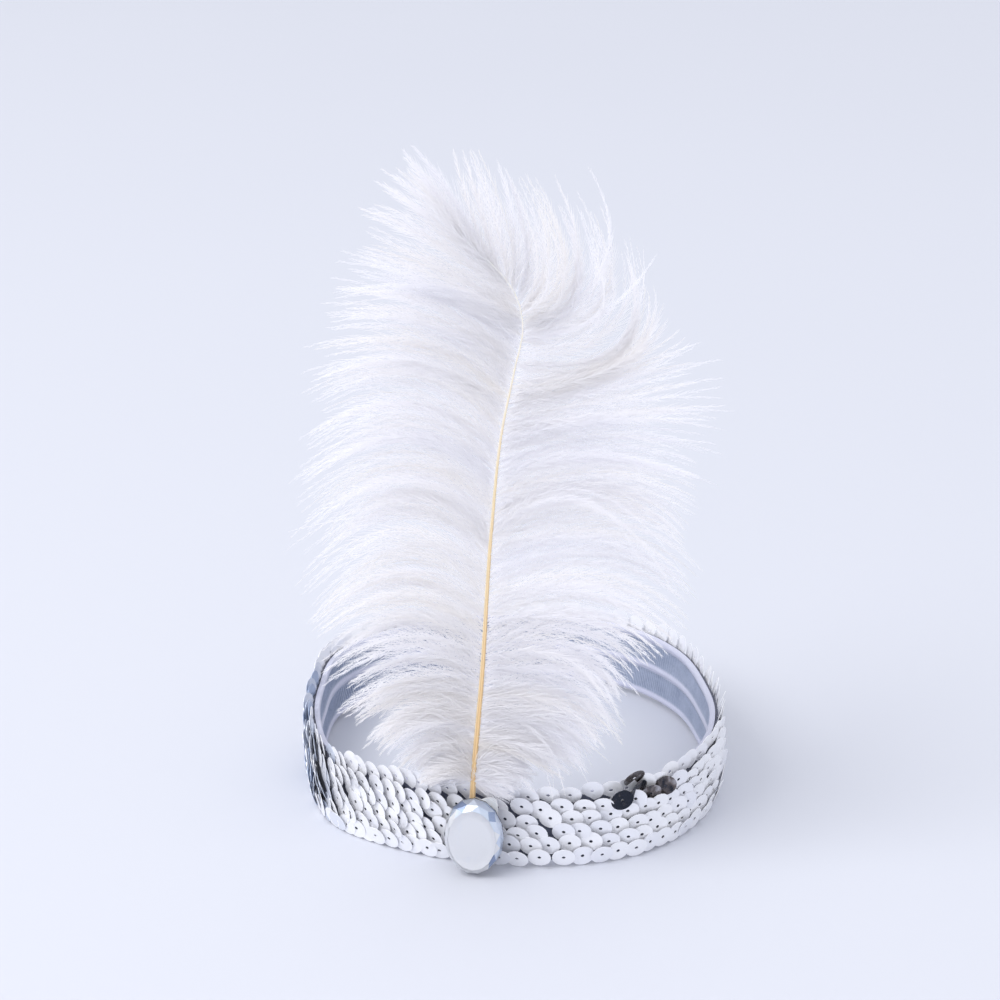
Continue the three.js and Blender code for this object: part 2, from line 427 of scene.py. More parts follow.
@dataclass(frozen=True)
class FeatherBarbs:
    """Bleached barbs: matt, pale and lit through; a faint glow stands in for light scattered many times."""

    name: str = "feather_barbs_bleached"
    cool: Colour = (0.97, 0.968, 0.982)
    warm: Colour = (0.975, 0.963, 0.952)
    grey: Colour = (0.955, 0.953, 0.972)
    lit_through: float = 0.8
    scattered: float = 0.016
    drift_scale: float = 60.0
    drifted: float = 0.5
    roughness: float = 0.7
    shine: float = 0.25

    def material(self) -> bpy.types.Material:
        """The barbs' shader; the mesh's tone attribute runs from grey through cool to warm."""
        board = Board(self.name)
        tone = board.attribute("tone")
        drift = board.noise(self.drift_scale, 2.0)
        stops = [(0.05, self.grey), (0.3, self.cool), (1.0, self.warm)]
        colour = board.ramp(tone + (drift - 0.5) * self.drifted, stops)
        board.dress(
            Base_Color=colour,
            Roughness=self.roughness,
            Specular_IOR_Level=self.shine,
            Emission_Color=self.cool,
            Emission_Strength=self.scattered / (1 - self.lit_through),
        )
        through = board.add("ShaderNodeBsdfTranslucent", {}, {"Color": colour})
        mixed = board.add(
            "ShaderNodeMixShader",
            {},
            {"Fac": self.lit_through, 1: Wire(board, board.skin.outputs["BSDF"]), 2: through},
        )
        board.finish(mixed.socket)
        return board.material


@dataclass(frozen=True)
class QuillHorn:
    """Horn that is tan at the foot, bleached towards the tip and paler towards its -X side."""

    name: str = "quill_horn"
    foot: Colour = (0.78, 0.56, 0.30)
    middle: Colour = (0.84, 0.70, 0.46)
    tip: Colour = (0.95, 0.94, 0.90)
    fade_from: float = 0.08
    fade_to: float = 0.21
    side_paling: float = 0.5
    fibre_scale: float = 500.0
    fibre_stretch: Colour = (6.0, 6.0, 0.4)
    fibre_drift: float = 0.25
    fibre_rise: float = 0.05 * MM
    roughness: float = 0.32
    smeared: float = 0.15
    waxy: float = 0.15
    waxy_reach: Colour = (0.001, 0.0008, 0.0005)

    def material(self) -> bpy.types.Material:
        """The quill's shader."""
        board = Board(self.name)
        height = board.add("ShaderNodeSeparateXYZ", {}, {"Vector": board.place()}, "Z")
        share = (height - self.fade_from) * (1.0 / (self.fade_to - self.fade_from))
        share = share + board.attribute("paler_side") * self.side_paling
        fibres = board.noise(self.fibre_scale, 3.0, board.stretched(self.fibre_stretch))
        stops = [(0.0, self.foot), (0.5, self.middle), (1.0, self.tip)]
        board.dress(
            Base_Color=board.ramp(share + (fibres - 0.5) * self.fibre_drift, stops),
            Roughness=self.roughness + self.smeared * fibres,
            Subsurface_Weight=self.waxy,
            Subsurface_Radius=self.waxy_reach,
            Normal=board.bump(fibres, self.fibre_rise),
        )
        return board.material


@dataclass(frozen=True)
class HotGlue:
    """Cloudy set glue."""

    name: str = "hot_glue_cloudy"
    pale: Colour = (0.86, 0.86, 0.86)
    cloud: Colour = (0.72, 0.73, 0.77)
    cloud_scale: float = 420.0
    roughness: float = 0.3
    smeared: float = 0.2
    milky: float = 0.2
    lumpy: float = 0.2 * MM

    def material(self) -> bpy.types.Material:
        """The glue's shader."""
        board = Board(self.name)
        clouds = board.noise(self.cloud_scale, 4.0)
        board.dress(
            Base_Color=board.ramp(clouds, [(0.3, self.cloud), (0.7, self.pale)]),
            Roughness=self.roughness + self.smeared * clouds,
            Subsurface_Weight=self.milky,
            Normal=board.bump(clouds, self.lumpy),
        )
        return board.material


@dataclass(frozen=True)
class StudioPaper:
    """The plain pale floor."""

    name: str = "studio_paper"
    pale: Colour = (0.645, 0.665, 0.735)
    shade: Colour = (0.63, 0.65, 0.72)
    cloud_scale: float = 1.2
    roughness: float = 0.75
    shine: float = 0.2

    def material(self) -> bpy.types.Material:
        """The paper's shader."""
        board = Board(self.name)
        clouds = board.noise(self.cloud_scale, 2.0)
        board.dress(
            Base_Color=board.ramp(clouds, [(0.3, self.shade), (0.7, self.pale)]),
            Roughness=self.roughness,
            Specular_IOR_Level=self.shine,
        )
        return board.material


# Modelling helpers


def start_piece(add: Callable[..., set], name: str, **settings: object) -> bpy.types.Object:
    """Adds a primitive by itself.

    Args:
        add: the primitive's operator.
        name: the piece's name.
        **settings: the operator's settings.

    Returns:
        The new object, active and alone in the selection.
    """
    bpy.ops.object.select_all(action="DESELECT")
    add(**settings)
    piece = bpy.context.active_object
    piece.name = name
    piece.data.name = name
    return piece


def pick_alone(piece: bpy.types.Object) -> None:
    """Makes a piece active and the only one selected."""
    bpy.ops.object.select_all(action="DESELECT")
    piece.select_set(True)
    bpy.context.view_layer.objects.active = piece


def edit(piece: bpy.types.Object) -> None:
    """Opens a piece in edit mode with nothing selected."""
    pick_alone(piece)
    bpy.ops.object.mode_set(mode="EDIT")
    bpy.ops.mesh.select_all(action="DESELECT")


def done() -> None:
    """Leaves edit mode."""
    bpy.ops.object.mode_set(mode="OBJECT")


def pick_faces(piece: bpy.types.Object, rule: Callable[[bmesh.types.BMFace], bool]) -> None:
    """Selects just the faces that a rule picks, in edit mode.

    Args:
        piece: the piece being edited.
        rule: says whether a face is picked.
    """
    bpy.ops.mesh.select_mode(type="FACE")
    shape = bmesh.from_edit_mesh(piece.data)
    for face in shape.faces:
        face.select_set(rule(face))
    shape.select_flush_mode()
    bmesh.update_edit_mesh(piece.data)


def pick_points(piece: bpy.types.Object, rule: Callable[[bmesh.types.BMVert], bool]) -> None:
    """Selects just the points that a rule picks, in edit mode.

    Args:
        piece: the piece being edited.
        rule: says whether a point is picked.
    """
    bpy.ops.mesh.select_mode(type="VERT")
    shape = bmesh.from_edit_mesh(piece.data)
    for point in shape.verts:
        point.select_set(rule(point))
    shape.select_flush_mode()
    bmesh.update_edit_mesh(piece.data)


def apply_modifier(piece: bpy.types.Object, kind: str, **settings: object) -> None:
    """Adds one modifier, sets it and applies it.

    Args:
        piece: the piece that gets it.
        kind: the modifier's type.
        **settings: its settings.
    """
    modifier = piece.modifiers.new(kind.lower(), kind)
    for name, value in settings.items():
        setattr(modifier, name, value)
    pick_alone(piece)
    bpy.ops.object.modifier_apply(modifier=modifier.name)


def set_place(piece: bpy.types.Object) -> None:
    """Puts a piece's place, turn and size into its mesh."""
    pick_alone(piece)
    bpy.ops.object.transform_apply(location=True, rotation=True, scale=True)


def close_and_face_out(piece: bpy.types.Object) -> None:
    """Merges doubled points and turns every face outwards."""
    edit(piece)
    bpy.ops.mesh.select_all(action="SELECT")
    bpy.ops.mesh.remove_doubles(threshold=MERGE)
    bpy.ops.mesh.normals_make_consistent(inside=False)
    done()


def places_of(piece: bpy.types.Object) -> np.ndarray:
    """The places of a piece's points."""
    places = np.empty(len(piece.data.vertices) * 3, np.float32)
    piece.data.vertices.foreach_get("co", places)
    return places.reshape(-1, 3).astype(float)


def move_to(piece: bpy.types.Object, places: np.ndarray) -> None:
    """Moves a piece's points to new places."""
    piece.data.vertices.foreach_set("co", np.asarray(places, np.float32).ravel())
    piece.data.update()


def numbers_of(piece: bpy.types.Object, name: str) -> np.ndarray:
    """The numbers that a piece's points hold under a name."""
    numbers = np.empty(len(piece.data.vertices), np.float32)
    piece.data.attributes[name].data.foreach_get("value", numbers)
    return numbers


def paint(piece: bpy.types.Object, name: str, values: np.ndarray, domain: str = "POINT") -> None:
    """Writes one number for each point or face under a name.

    Args:
        piece: the piece.
        name: the attribute's name.
        values: its numbers.
        domain: POINT or FACE.
    """
    layer = piece.data.attributes.new(name, "FLOAT", domain)
    layer.data.foreach_set("value", np.asarray(values, np.float32))


def eased(
    s: np.ndarray, start: np.ndarray, end: np.ndarray, start_slope: np.ndarray, end_slope: np.ndarray
) -> np.ndarray:
    """A cubic that leaves one value and reaches the next at given slopes.

    Args:
        s: shares of the way, from 0 to 1.
        start: the values at 0.
        end: the values at 1.
        start_slope: the slopes at 0.
        end_slope: the slopes at 1.

    Returns:
        The values there.
    """
    return (
        (2 * s**3 - 3 * s**2 + 1) * start
        + (s**3 - 2 * s**2 + s) * start_slope
        + (3 * s**2 - 2 * s**3) * end
        + (s**3 - s**2) * end_slope
    )


def joined(name: str, points: np.ndarray, faces: np.ndarray) -> bpy.types.Object:
    """A new mesh piece from arrays, whose faces all have the same number of corners.

    Args:
        name: the piece's name.
        points: its points.
        faces: the points of each face.

    Returns:
        The piece, linked to the scene.
    """
    mesh = bpy.data.meshes.new(name)
    count, corners = faces.shape
    mesh.vertices.add(len(points))
    mesh.vertices.foreach_set("co", np.asarray(points, np.float32).ravel())
    mesh.loops.add(count * corners)
    mesh.loops.foreach_set("vertex_index", np.asarray(faces, np.int32).ravel())
    mesh.polygons.add(count)
    mesh.polygons.foreach_set("loop_start", np.arange(count, dtype=np.int32) * corners)
    mesh.update(calc_edges=True)
    mesh.validate()
    mesh.shade_flat()
    piece = bpy.data.objects.new(name, mesh)
    bpy.context.scene.collection.objects.link(piece)
    return piece


def settle(
    piece: bpy.types.Object,
    materials: Sequence[bpy.types.Material],
    node: str,
) -> None:
    """Dresses a finished piece and fixes it to the part's body.

    Args:
        piece: the finished piece.
        materials: its materials, in the order of its slots.
        node: the solid that it stands for.
    """
    piece.data.materials.clear()
    for material in materials:
        piece.data.materials.append(material)
    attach(piece, BODY)
    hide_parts(node)
    LOG.info("%s: %d faces", piece.name, len(piece.data.polygons))


# The ring that every piece of the band follows


@dataclass
class BandPlan:
    """The plan of the band as it stands, from the jewel round towards +X."""

    head_radius: float = 62 * MM
    stone_back: float = 68.65 * MM
    reaches: tuple[float, ...] = (
        0.975, 1.012, 1.045, 1.02, 0.978, 0.957, 1.01, 1.05,
        1.035, 1.03, 1.055, 1.062, 0.985, 0.99, 1.04, 0.99,
    )

    def __post_init__(self) -> None:
        """Finds the ring's centre on the floor from the jewel's box."""
        low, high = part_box("jewel")
        self.centre = np.array([(low.x + high.x) / 2, high.y + self.stone_back, 0.0])

    def reach(self, turn: np.ndarray) -> np.ndarray:
        """The ring's reach as a share of the head's radius.

        Args:
            turn: angles from the jewel, in radians.

        Returns:
            The shares, smoothed between the table's rows.
        """
        table = np.array(self.reaches)
        place = np.asarray(turn) / math.tau * len(table)
        row = np.floor(place).astype(int)
        before, start, end, after = (table[(row + step) % len(table)] for step in (-1, 0, 1, 2))
        return eased(place - row, start, end, (end - before) / 2, (after - start) / 2)

    def point(self, turn: np.ndarray, out: np.ndarray, up: np.ndarray) -> np.ndarray:
        """Points at turns, distances out from the ring and heights."""
        radius = self.head_radius * self.reach(turn) + out
        return self.centre + np.stack([radius * np.sin(turn), -radius * np.cos(turn), up + 0 * radius], -1)

    def axes(self, turn: float) -> tuple[Vector, Vector]:
        """The ways along the ring and out from it.

        Args:
            turn: the angle from the jewel, in radians.

        Returns:
            Two unit vectors on the floor's plane.
        """
        aside = 0.01
        before, after = self.point(np.array([turn - aside, turn + aside]), 0, 0)
        along = Vector(after - before).normalized()
        return along, Vector((along.y, -along.x, 0.0))

    def wrap(self, piece: bpy.types.Object, length: float) -> None:
        """Carries a flat strip round the ring: X along it, Y out of it and Z up.

        Args:
            piece: the strip, which starts at X = 0.
            length: the strip's length, which goes once round.
        """
        along, out, up = places_of(piece).T
        move_to(piece, self.point(math.tau * along / length, out, up))


# The band's cloth: the ribbed lining and the base that the sequins are sewn to


@dataclass(frozen=True)
class ClothRow:
    """One row of a cloth's section: its height, how far it stands in, and its slant along the band."""

    up: float
    stand: float
    slant: float = 0.0
    seam: float = 0.0
    ribbed: float = 0.0


@dataclass
class StretchStrip:
    """A band of stretch cloth modelled as one rib, repeated and carried round the ring.

    Its rows go up the front and end with the two behind.
    """

    name: str
    plan: BandPlan
    finish: StretchCloth
    rows: Sequence[ClothRow]
    inside: float
    length: float = 400 * MM
    ribs: int = 360
    columns: int = 3
    rib_depth: float = 0.17 * MM
    smooth_below: float = 50.0

    def one_rib(self) -> bpy.types.Object:
        """Models one rib: a narrow strip drawn up, over and down again, row by row, to where it began.

        Returns:
            The rib, standing at X = 0.
        """
        pitch = self.length / self.ribs
        first, second, *others = self.rows
        piece = start_piece(
            bpy.ops.mesh.primitive_grid_add,
            self.name,
            x_subdivisions=self.columns,
            y_subdivisions=1,
            size=1.0,
        )
        edit(piece)
        bpy.ops.mesh.select_all(action="SELECT")
        bpy.ops.transform.resize(value=(pitch, second.up - first.up, 1.0))
        bpy.ops.transform.translate(value=(pitch / 2, (second.up + first.up) / 2, 0))
        done()
        across, up, _ = places_of(piece).T
        stand = np.where(up > (second.up + first.up) / 2, second.stand, first.stand)
        move_to(piece, np.stack([across, -stand, up], -1))
        edit(piece)
        pick_points(piece, lambda point: abs(point.co.z - second.up) < MERGE)
        for here, above in zip((second, *others), (*others, first)):
            step = ((above.slant - here.slant) * pitch, here.stand - above.stand, above.up - here.up)
            bpy.ops.mesh.extrude_region_move(TRANSFORM_OT_translate={"value": step})
        done()
        self.mark_rows(piece, pitch)
        return piece

    def mark_rows(self, piece: bpy.types.Object, pitch: float) -> None:
        """Marks where the cloth is seam, and how far its ribs stand: 1 on a crest and -1 in a valley.

        Args:
            piece: the rib.
            pitch: the rib's width.
        """
        across, _, up = places_of(piece).T
        front = self.rows[:-2]
        heights = [row.up for row in front]
        slants, seams, ribbed = (
            np.interp(up, heights, [getattr(row, name) for row in front])
            for name in ("slant", "seam", "ribbed")
        )
        paint(piece, "rib", ribbed * np.sin(math.tau * (across / pitch - slants)))
        paint(piece, "seam", seams)

    def build(self) -> bpy.types.Object:
        """Repeats the rib, carries the band round the ring, closes it and raises its ribs.

        Returns:
            The cloth, before it is dressed.
        """
        piece = self.one_rib()
        pitch = self.length / self.ribs
        apply_modifier(
            piece,
            "ARRAY",
            count=self.ribs,
            use_relative_offset=False,
            use_constant_offset=True,
            constant_offset_displace=(pitch, 0, 0),
            use_merge_vertices=True,
            merge_threshold=MERGE,
        )
        raised = numbers_of(piece, "rib") * self.rib_depth * (places_of(piece)[:, 1] < 0.5 * MM)
        move_to(piece, places_of(piece) + np.stack([0 * raised, self.inside - raised, 0 * raised], -1))
        self.plan.wrap(piece, self.length)
        close_and_face_out(piece)
        bpy.ops.object.shade_smooth_by_angle(angle=math.radians(self.smooth_below))
        return piece


def lining_rows(low: float, high: float, seam: float, rise: float, thickness: float) -> list[ClothRow]:
    """The lining's section: three round seams with two ribbed panels between them, and a plain back.

    Args:
        low: the lining's lower edge.
        high: its upper edge.
        seam: a seam's width.
        rise: how far a seam stands in.
        thickness: the cloth's thickness.

    Returns:
        The rows from the lower edge up, and the two behind.
    """
    rows = []
    pitches_aslant = 2.2
    panel = (high - low - 3 * seam) / 2
    for index in range(3):
        foot = low + index * (seam + panel)
        for share, stand in ((0.0, 0.25), (0.25, 0.85), (0.5, 1.0), (0.75, 0.85), (1.0, 0.25)):
            rows.append(ClothRow(foot + share * seam, stand * rise, seam=1.0, ribbed=0.6 * (stand > 0.3)))
        if index < 2:
            for share in (0.1, 0.3, 0.5, 0.7, 0.9):
                slant = (share - 0.1) * pitches_aslant
                rows.append(ClothRow(foot + seam + share * panel, 0.0, slant=slant, ribbed=1.0))
    return rows + [ClothRow(high, -thickness), ClothRow(low, -thickness)]


def base_rows(low: float, high: float, thickness: float) -> list[ClothRow]:
    """The sequin base's section, which is plain.

    Args:
        low: the base's lower edge.
        high: its upper edge.
        thickness: the cloth's thickness.

    Returns:
        The rows from the lower edge up, and the two behind.
    """
    shares = (0.0, 0.05, 0.2, 0.4, 0.6, 0.8, 0.95, 1.0)
    rows = [ClothRow(low + share * (high - low), 0.0) for share in shares]
    return rows + [ClothRow(high, -thickness), ClothRow(low, -thickness)]


# Sequins


@dataclass(frozen=True)
class Turned:
    """A sequin that has turned over: its turn and height on the band, its lean, heading and darkness, which
    is a painted dark reflection.

    One that stands proud lies over the sequins beside it. Any other takes the place of one.
    """

    turn: float
    up: float
    lean: float
    heading: float
    tint: float
    proud: float = 0.0


Pattern = tuple[np.ndarray, np.ndarray, np.ndarray]


@dataclass
class SequinField:
    """Rows of leaning sequins sewn round the band, each over the next like scales."""

    plan: BandPlan
    diameter: float = 6.9 * MM
    hole: float = 1.15 * MM
    film: float = 0.14 * MM
    sides: int = 18
    band_height: float = 25.5 * MM
    base_out: float = 2.8 * MM
    rows: int = 6
    top_stand: float = 2.0 * MM
    top_tuck: float = 0.7 * MM
    lean_spread: float = 4.0
    lean_limits: tuple[float, float] = (8, 36)
    headings: tuple[tuple[float, float], ...] = (
        (0, 58), (60, 50), (270, 30), (320, 24), (350, 40), (360, 58),
    )
    heading_spread: float = 12.0
    floor_heading: float = 80
    floor_heading_spread: float = 10
    clearance: float = 2.6 * MM
    seed: int = 70
    scatter: float = 0.5 * MM
    floor_gap: float = 0.1 * MM
    pitches: tuple[tuple[float, float], ...] = (
        (0, 6.0), (22, 6.0), (45, 5.2), (80, 5.0), (120, 5.4), (180, 5.6),
        (240, 5.2), (285, 4.0), (335, 3.6), (352, 5.2), (360, 6.0),
    )
    leans: tuple[tuple[float, float], ...] = (
        (0, 21), (40, 19), (90, 18), (180, 19), (265, 20), (300, 15), (335, 18), (360, 21),
    )
    # painted slate reflection added to the tint of the left side's sequins, by turn in degrees
    painted_slate_reflections: tuple[tuple[float, float], ...] = (
        (0, 0), (250, 0), (275, 0.8), (290, 0.95), (305, 0.75), (325, 0), (360, 0),
    )
    turned: tuple[Turned, ...] = (
        Turned(40.0, 27.0, 30, 100, 0.62),
        Turned(41.5, 22.6, 24, 140, 0.3),
        Turned(36.4, 21.2, 10, 60, 0.04, 2.2),
        Turned(45.0, 20.3, 24, 60, 0.6),
        Turned(49.5, 21.2, 30, 20, 0.5),
    )

    def one_sequin(self) -> Pattern:
        """Models one flat sequin: a thin disc, inset on both faces and bridged through for its hole.

        Returns:
            Its points, its faces, and each face's slot.
        """
        piece = start_piece(
            bpy.ops.mesh.primitive_cylinder_add,
            "sequin_pattern",
            vertices=self.sides,
            radius=self.diameter / 2,
            depth=self.film,
            end_fill_type="NGON",
        )
        edit(piece)
        pick_faces(piece, lambda face: abs(face.normal.z) > 0.9)
        bpy.ops.mesh.inset(thickness=(self.diameter - self.hole) / 2)
        bpy.ops.mesh.bridge_edge_loops()
        done()
        mesh = piece.data
        points = np.array([point.co for point in mesh.vertices])
        faces = np.array([list(face.vertices) for face in mesh.polygons])
        under = Face.UNDERSIDE.value
        slots = np.array([Face.SILVERED.value if face.normal.z > 0.5 else under for face in mesh.polygons])
        bpy.data.objects.remove(piece)
        return points, faces, slots

    def seat(self, turn: float, up: float, lean: float, heading: float, tuck: float) -> Matrix:
        """Where a sequin sits: tucked in at one edge and proud at the other.

        Args:
            turn: its place round the band, in degrees.
            up: its centre's height.
            lean: how far it leans, in degrees.
            heading: the way its proud edge points, in degrees up from the way along the band.
            tuck: how much further in than usual it sits.

        Returns:
            The matrix that takes the pattern there.
        """
        angle = math.radians(turn)
        along, outward = self.plan.axes(angle)
        way = along * math.cos(math.radians(heading)) + Vector((0, 0, math.sin(math.radians(heading))))
        tilt = math.radians(lean)
        forward = way * math.cos(tilt) + outward * math.sin(tilt)
        normal = outward * math.cos(tilt) - way * math.sin(tilt)
        side = normal.cross(forward)
        radius = self.diameter / 2
        out = self.base_out - tuck + radius * math.sin(tilt)
        drop = radius * math.sqrt(forward.z**2 + side.z**2)
        up = max(up, drop + self.film + self.floor_gap)
        turned = Matrix((forward, side, normal)).transposed().to_4x4()
        return Matrix.Translation(self.plan.point(angle, out, up)) @ turned

    def columns(self) -> tuple[np.ndarray, np.ndarray, int]:
        """Counts columns round the band at the table's pitch.

        Returns:
            Turns in degrees, the column number at each, and how many columns there are.
        """
        parts = 720
        turns = np.linspace(0, 360, parts + 1)
        pitch = np.interp(turns, *zip(*self.pitches)) * MM
        radius = self.plan.head_radius * self.plan.reach(np.radians(turns)) + self.base_out
        steps = np.radians(360 / parts) * radius / pitch
        number = np.concatenate([[0.0], np.cumsum((steps[1:] + steps[:-1]) / 2)])
        count = round(number[-1])
        return turns, number * count / number[-1], count

    def near_turned(self, turn: float, up: float) -> bool:
        """Whether a turned sequin already takes this place."""
        radius = self.plan.head_radius + self.base_out
        return any(
            math.hypot(math.radians(turn - other.turn) * radius, up - other.up * MM) < self.clearance
            for other in self.turned
            if not other.proud
        )

    def row_places(self, row: int) -> tuple[list[Matrix], list[float]]:
        """Places one row's sequins.

        Args:
            row: the row, from 0 at the floor.

        Returns:
            A matrix and a tint for each sequin.
        """
        draw = np.random.default_rng(self.seed + row)
        turns, number, count = self.columns()
        rise = (self.band_height + self.top_stand - self.diameter) / (self.rows - 1)
        radius = self.plan.head_radius + self.base_out
        places, tints = [], []
        for column in range(count):
            at = (column + 0.5 * (row % 2)) % count
            turn = float(np.interp(at, number, turns)) + math.degrees(draw.normal(0, self.scatter) / radius)
            up = self.diameter / 2 + row * rise + draw.normal(0, self.scatter)
            lean = float(np.interp(turn, *zip(*self.leans))) + draw.normal(0, self.lean_spread)
            lean = float(np.clip(lean, *self.lean_limits))
            heading = float(np.interp(turn, *zip(*self.headings))) + draw.normal(0, self.heading_spread)
            # tint: each sequin's own random tone plus its painted slate reflection
            tint = draw.random() + float(np.interp(turn, *zip(*self.painted_slate_reflections)))
            if row == 0:
                heading = draw.normal(self.floor_heading, self.floor_heading_spread)
            tuck = self.top_tuck if row == self.rows - 1 else 0.0
            if not self.near_turned(turn, up):
                places.append(self.seat(turn, up, lean, heading, tuck))
                tints.append(tint)
        return places, tints

    @staticmethod
    def copy_out(
        name: str, pattern: Pattern, places: list[Matrix], tints: list[float]
    ) -> bpy.types.Object:
        """Joins a copy of the pattern at each place into one piece.

        Args:
            name: the piece's name.
            pattern: one sequin's points, faces and slots.
            places: a matrix for each copy.
            tints: a tint for each copy.

        Returns:
            The joined piece.
        """
        points, faces, slots = pattern
        count = len(points)
        moved = [points @ np.array(place.to_3x3()).T + np.array(place.translation) for place in places]
        copies = np.concatenate([faces + index * count for index in range(len(places))])
        piece = joined(name, np.concatenate(moved), copies)
        indexes = np.tile(slots, len(places)).astype(np.int32)
        piece.data.polygons.foreach_set("material_index", indexes)
        paint(piece, "tint", np.repeat(tints, count))
        return piece

    def build(self) -> None:
        """Makes a piece for each row of sequins, and one for the turned ones."""
        silver, under = SequinFilm().material(), FilmUnderside().material()
        dark = TurnedFilmDarkReflection().material()
        pattern = self.one_sequin()
        for row in range(self.rows):
            piece = self.copy_out(f"sequin_row_{row + 1}", pattern, *self.row_places(row))
            settle(piece, [silver, under], "sequin_band")
        places = [self.seat(t.turn, t.up * MM, t.lean, t.heading, -t.proud * MM) for t in self.turned]
        piece = self.copy_out("sequins_turned_over", pattern, places, [t.tint for t in self.turned])
        settle(piece, [dark, silver], "sequin_band")


# The stone and its glue


@dataclass(frozen=True)
class IndigoSpot:
    """Where the foil's facets get a painted indigo reflection: places across, up and out from the middle, as
    shares.
    """

    across: float
    half_width: float
    low: float
    high: float
    reach: float
    shade: float


@dataclass
class CutStone:
    """Flat-backed oval stone: a clear crown over a mirrored, faceted back."""

    facets: int = 16
    girdle: float = 0.9 * MM
    foil_inset: float = 0.22 * MM
    foil_dish: float = 0.18 * MM
    dish_steps: tuple[tuple[float, float], ...] = ((1.0, 0.8), (0.3, 0.7))
    table_share: float = 0.82
    break_share: float = 0.94
    break_depth: float = 0.62
    seed: int = 5
    sky_reach: float = 0.83
    sky_up: float = 0.62
    sky_fall: float = 1.35
    pale_shades: tuple[float, float] = (0.86, 0.14)
    sky_shades: tuple[float, float] = (0.42, 0.22)
    spots: tuple[IndigoSpot, ...] = (
        IndigoSpot(-0.45, 0.14, 0.40, 1.00, 0.84, 0.12),
        IndigoSpot(0.66, 0.10, 0.40, 1.00, 0.84, 0.12),
        IndigoSpot(0.68, 0.12, -0.62, -0.34, 0.74, 0.10),
    )

    def ring_step(self, forwards: float, shrink: float) -> None:
        """Extrudes the picked face forwards, narrows it and turns it half a facet.

        Args:
            forwards: how far.
            shrink: its size as a share of what it was.
        """
        origin = Vector((0, 0, 0))
        half = math.pi / self.facets
        bpy.ops.mesh.extrude_region_move(TRANSFORM_OT_translate={"value": (0, 0, forwards)})
        bpy.ops.transform.resize(value=(shrink, shrink, 1.0), center_override=origin)
        bpy.ops.transform.rotate(value=half, orient_axis="Z", center_override=origin)

    def cut(self, name: str, inset: float) -> bpy.types.Object:
        """Cuts a girdle and two rings of facets up to a flat table.

        Args:
            name: the piece's name.
            inset: how far the piece lies inside the stone.

        Returns:
            The piece, lying down in edit mode with its table picked.
        """
        low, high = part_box("jewel")
        piece = start_piece(
            bpy.ops.mesh.primitive_cylinder_add,
            name,
            vertices=self.facets,
            radius=0.5,
            depth=self.girdle - inset,
            location=(0, 0, (self.girdle + inset) / 2),
            end_fill_type="NGON",
        )
        set_place(piece)
        edit(piece)
        pick_faces(piece, lambda face: face.normal.z > 0.9)
        rise = high.y - low.y - 2 * inset - self.girdle
        self.ring_step(rise * self.break_depth, self.break_share)
        self.ring_step(rise * (1 - self.break_depth), self.table_share / self.break_share)
        return piece

    def crown(self) -> bpy.types.Object:
        """Models the clear body, the size of the stone."""
        low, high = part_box("jewel")
        piece = self.cut("stone_crown", 0.0)
        pick_faces(
            piece,
            lambda face: abs(face.normal.z) < 0.999 and face.calc_center_median().z > self.girdle,
        )
        bpy.ops.mesh.quads_convert_to_tris()
        done()
        self.stand_up(piece, low, high)
        return piece

    def foil(self) -> bpy.types.Object:
        """Models the mirrored body just inside the crown, its table cut again into a shallow dish."""
        low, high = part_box("jewel")
        piece = self.cut("stone_foil", self.foil_inset)
        for depth, shrink in self.dish_steps:
            self.ring_step(-depth * self.foil_dish, shrink)
        bpy.ops.mesh.select_all(action="SELECT")
        bpy.ops.mesh.quads_convert_to_tris()
        done()
        inset = self.foil_inset
        self.stand_up(piece, low + Vector((inset, inset, inset)), high - Vector((inset, 0, inset)))
        return piece

    @staticmethod
    def stand_up(piece: bpy.types.Object, low: Vector, high: Vector) -> None:
        """Turns a stone that was cut lying down to face the front, at its own size.

        Args:
            piece: the stone, 1 m wide and facing up.
            low: the lowest corner of its box.
            high: its highest corner.
        """
        for point in piece.data.vertices:
            across, up, forward = point.co
            point.co = (
                (low.x + high.x) / 2 + across * (high.x - low.x),
                high.y - forward,
                (low.z + high.z) / 2 + up * (high.z - low.z),
            )
        close_and_face_out(piece)

    def painted_reflections(self, piece: bpy.types.Object) -> np.ndarray:
        """Picks each facet's painted reflection: a sky blue crescent at the top and right, indigo spots, the
        rest pale.

        Args:
            piece: the foil.

        Returns:
            One number for each face.
        """
        draw = np.random.default_rng(self.seed)
        low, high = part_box("jewel")
        middle, half = (low + high) / 2, (high - low) / 2
        painted_reflections = []
        for face in piece.data.polygons:
            across = (face.center.x - middle.x) / half.x
            up = (face.center.z - middle.z) / half.z
            reach = math.hypot(across, up)
            least, range_ = self.pale_shades
            shade = least + range_ * draw.random()
            if reach > self.sky_reach and up > self.sky_up - self.sky_fall * max(across, 0.0):
                least, range_ = self.sky_shades
                shade = least + range_ * draw.random()
            for spot in self.spots:
                beside = abs(across - spot.across) < spot.half_width
                if beside and spot.low < up < spot.high and reach > spot.reach:
                    shade = spot.shade
            painted_reflections.append(shade)
        return np.array(painted_reflections)

    def build(self) -> None:
        """Makes the clear crown and the foil behind it."""
        settle(self.crown(), [ClearAcrylic().material()], "jewel")
        foil = self.foil()
        # the foil's painted reflections, one number for each face
        paint(foil, "shade", self.painted_reflections(foil), "FACE")
        settle(foil, [MirrorFoil().material()], "jewel")


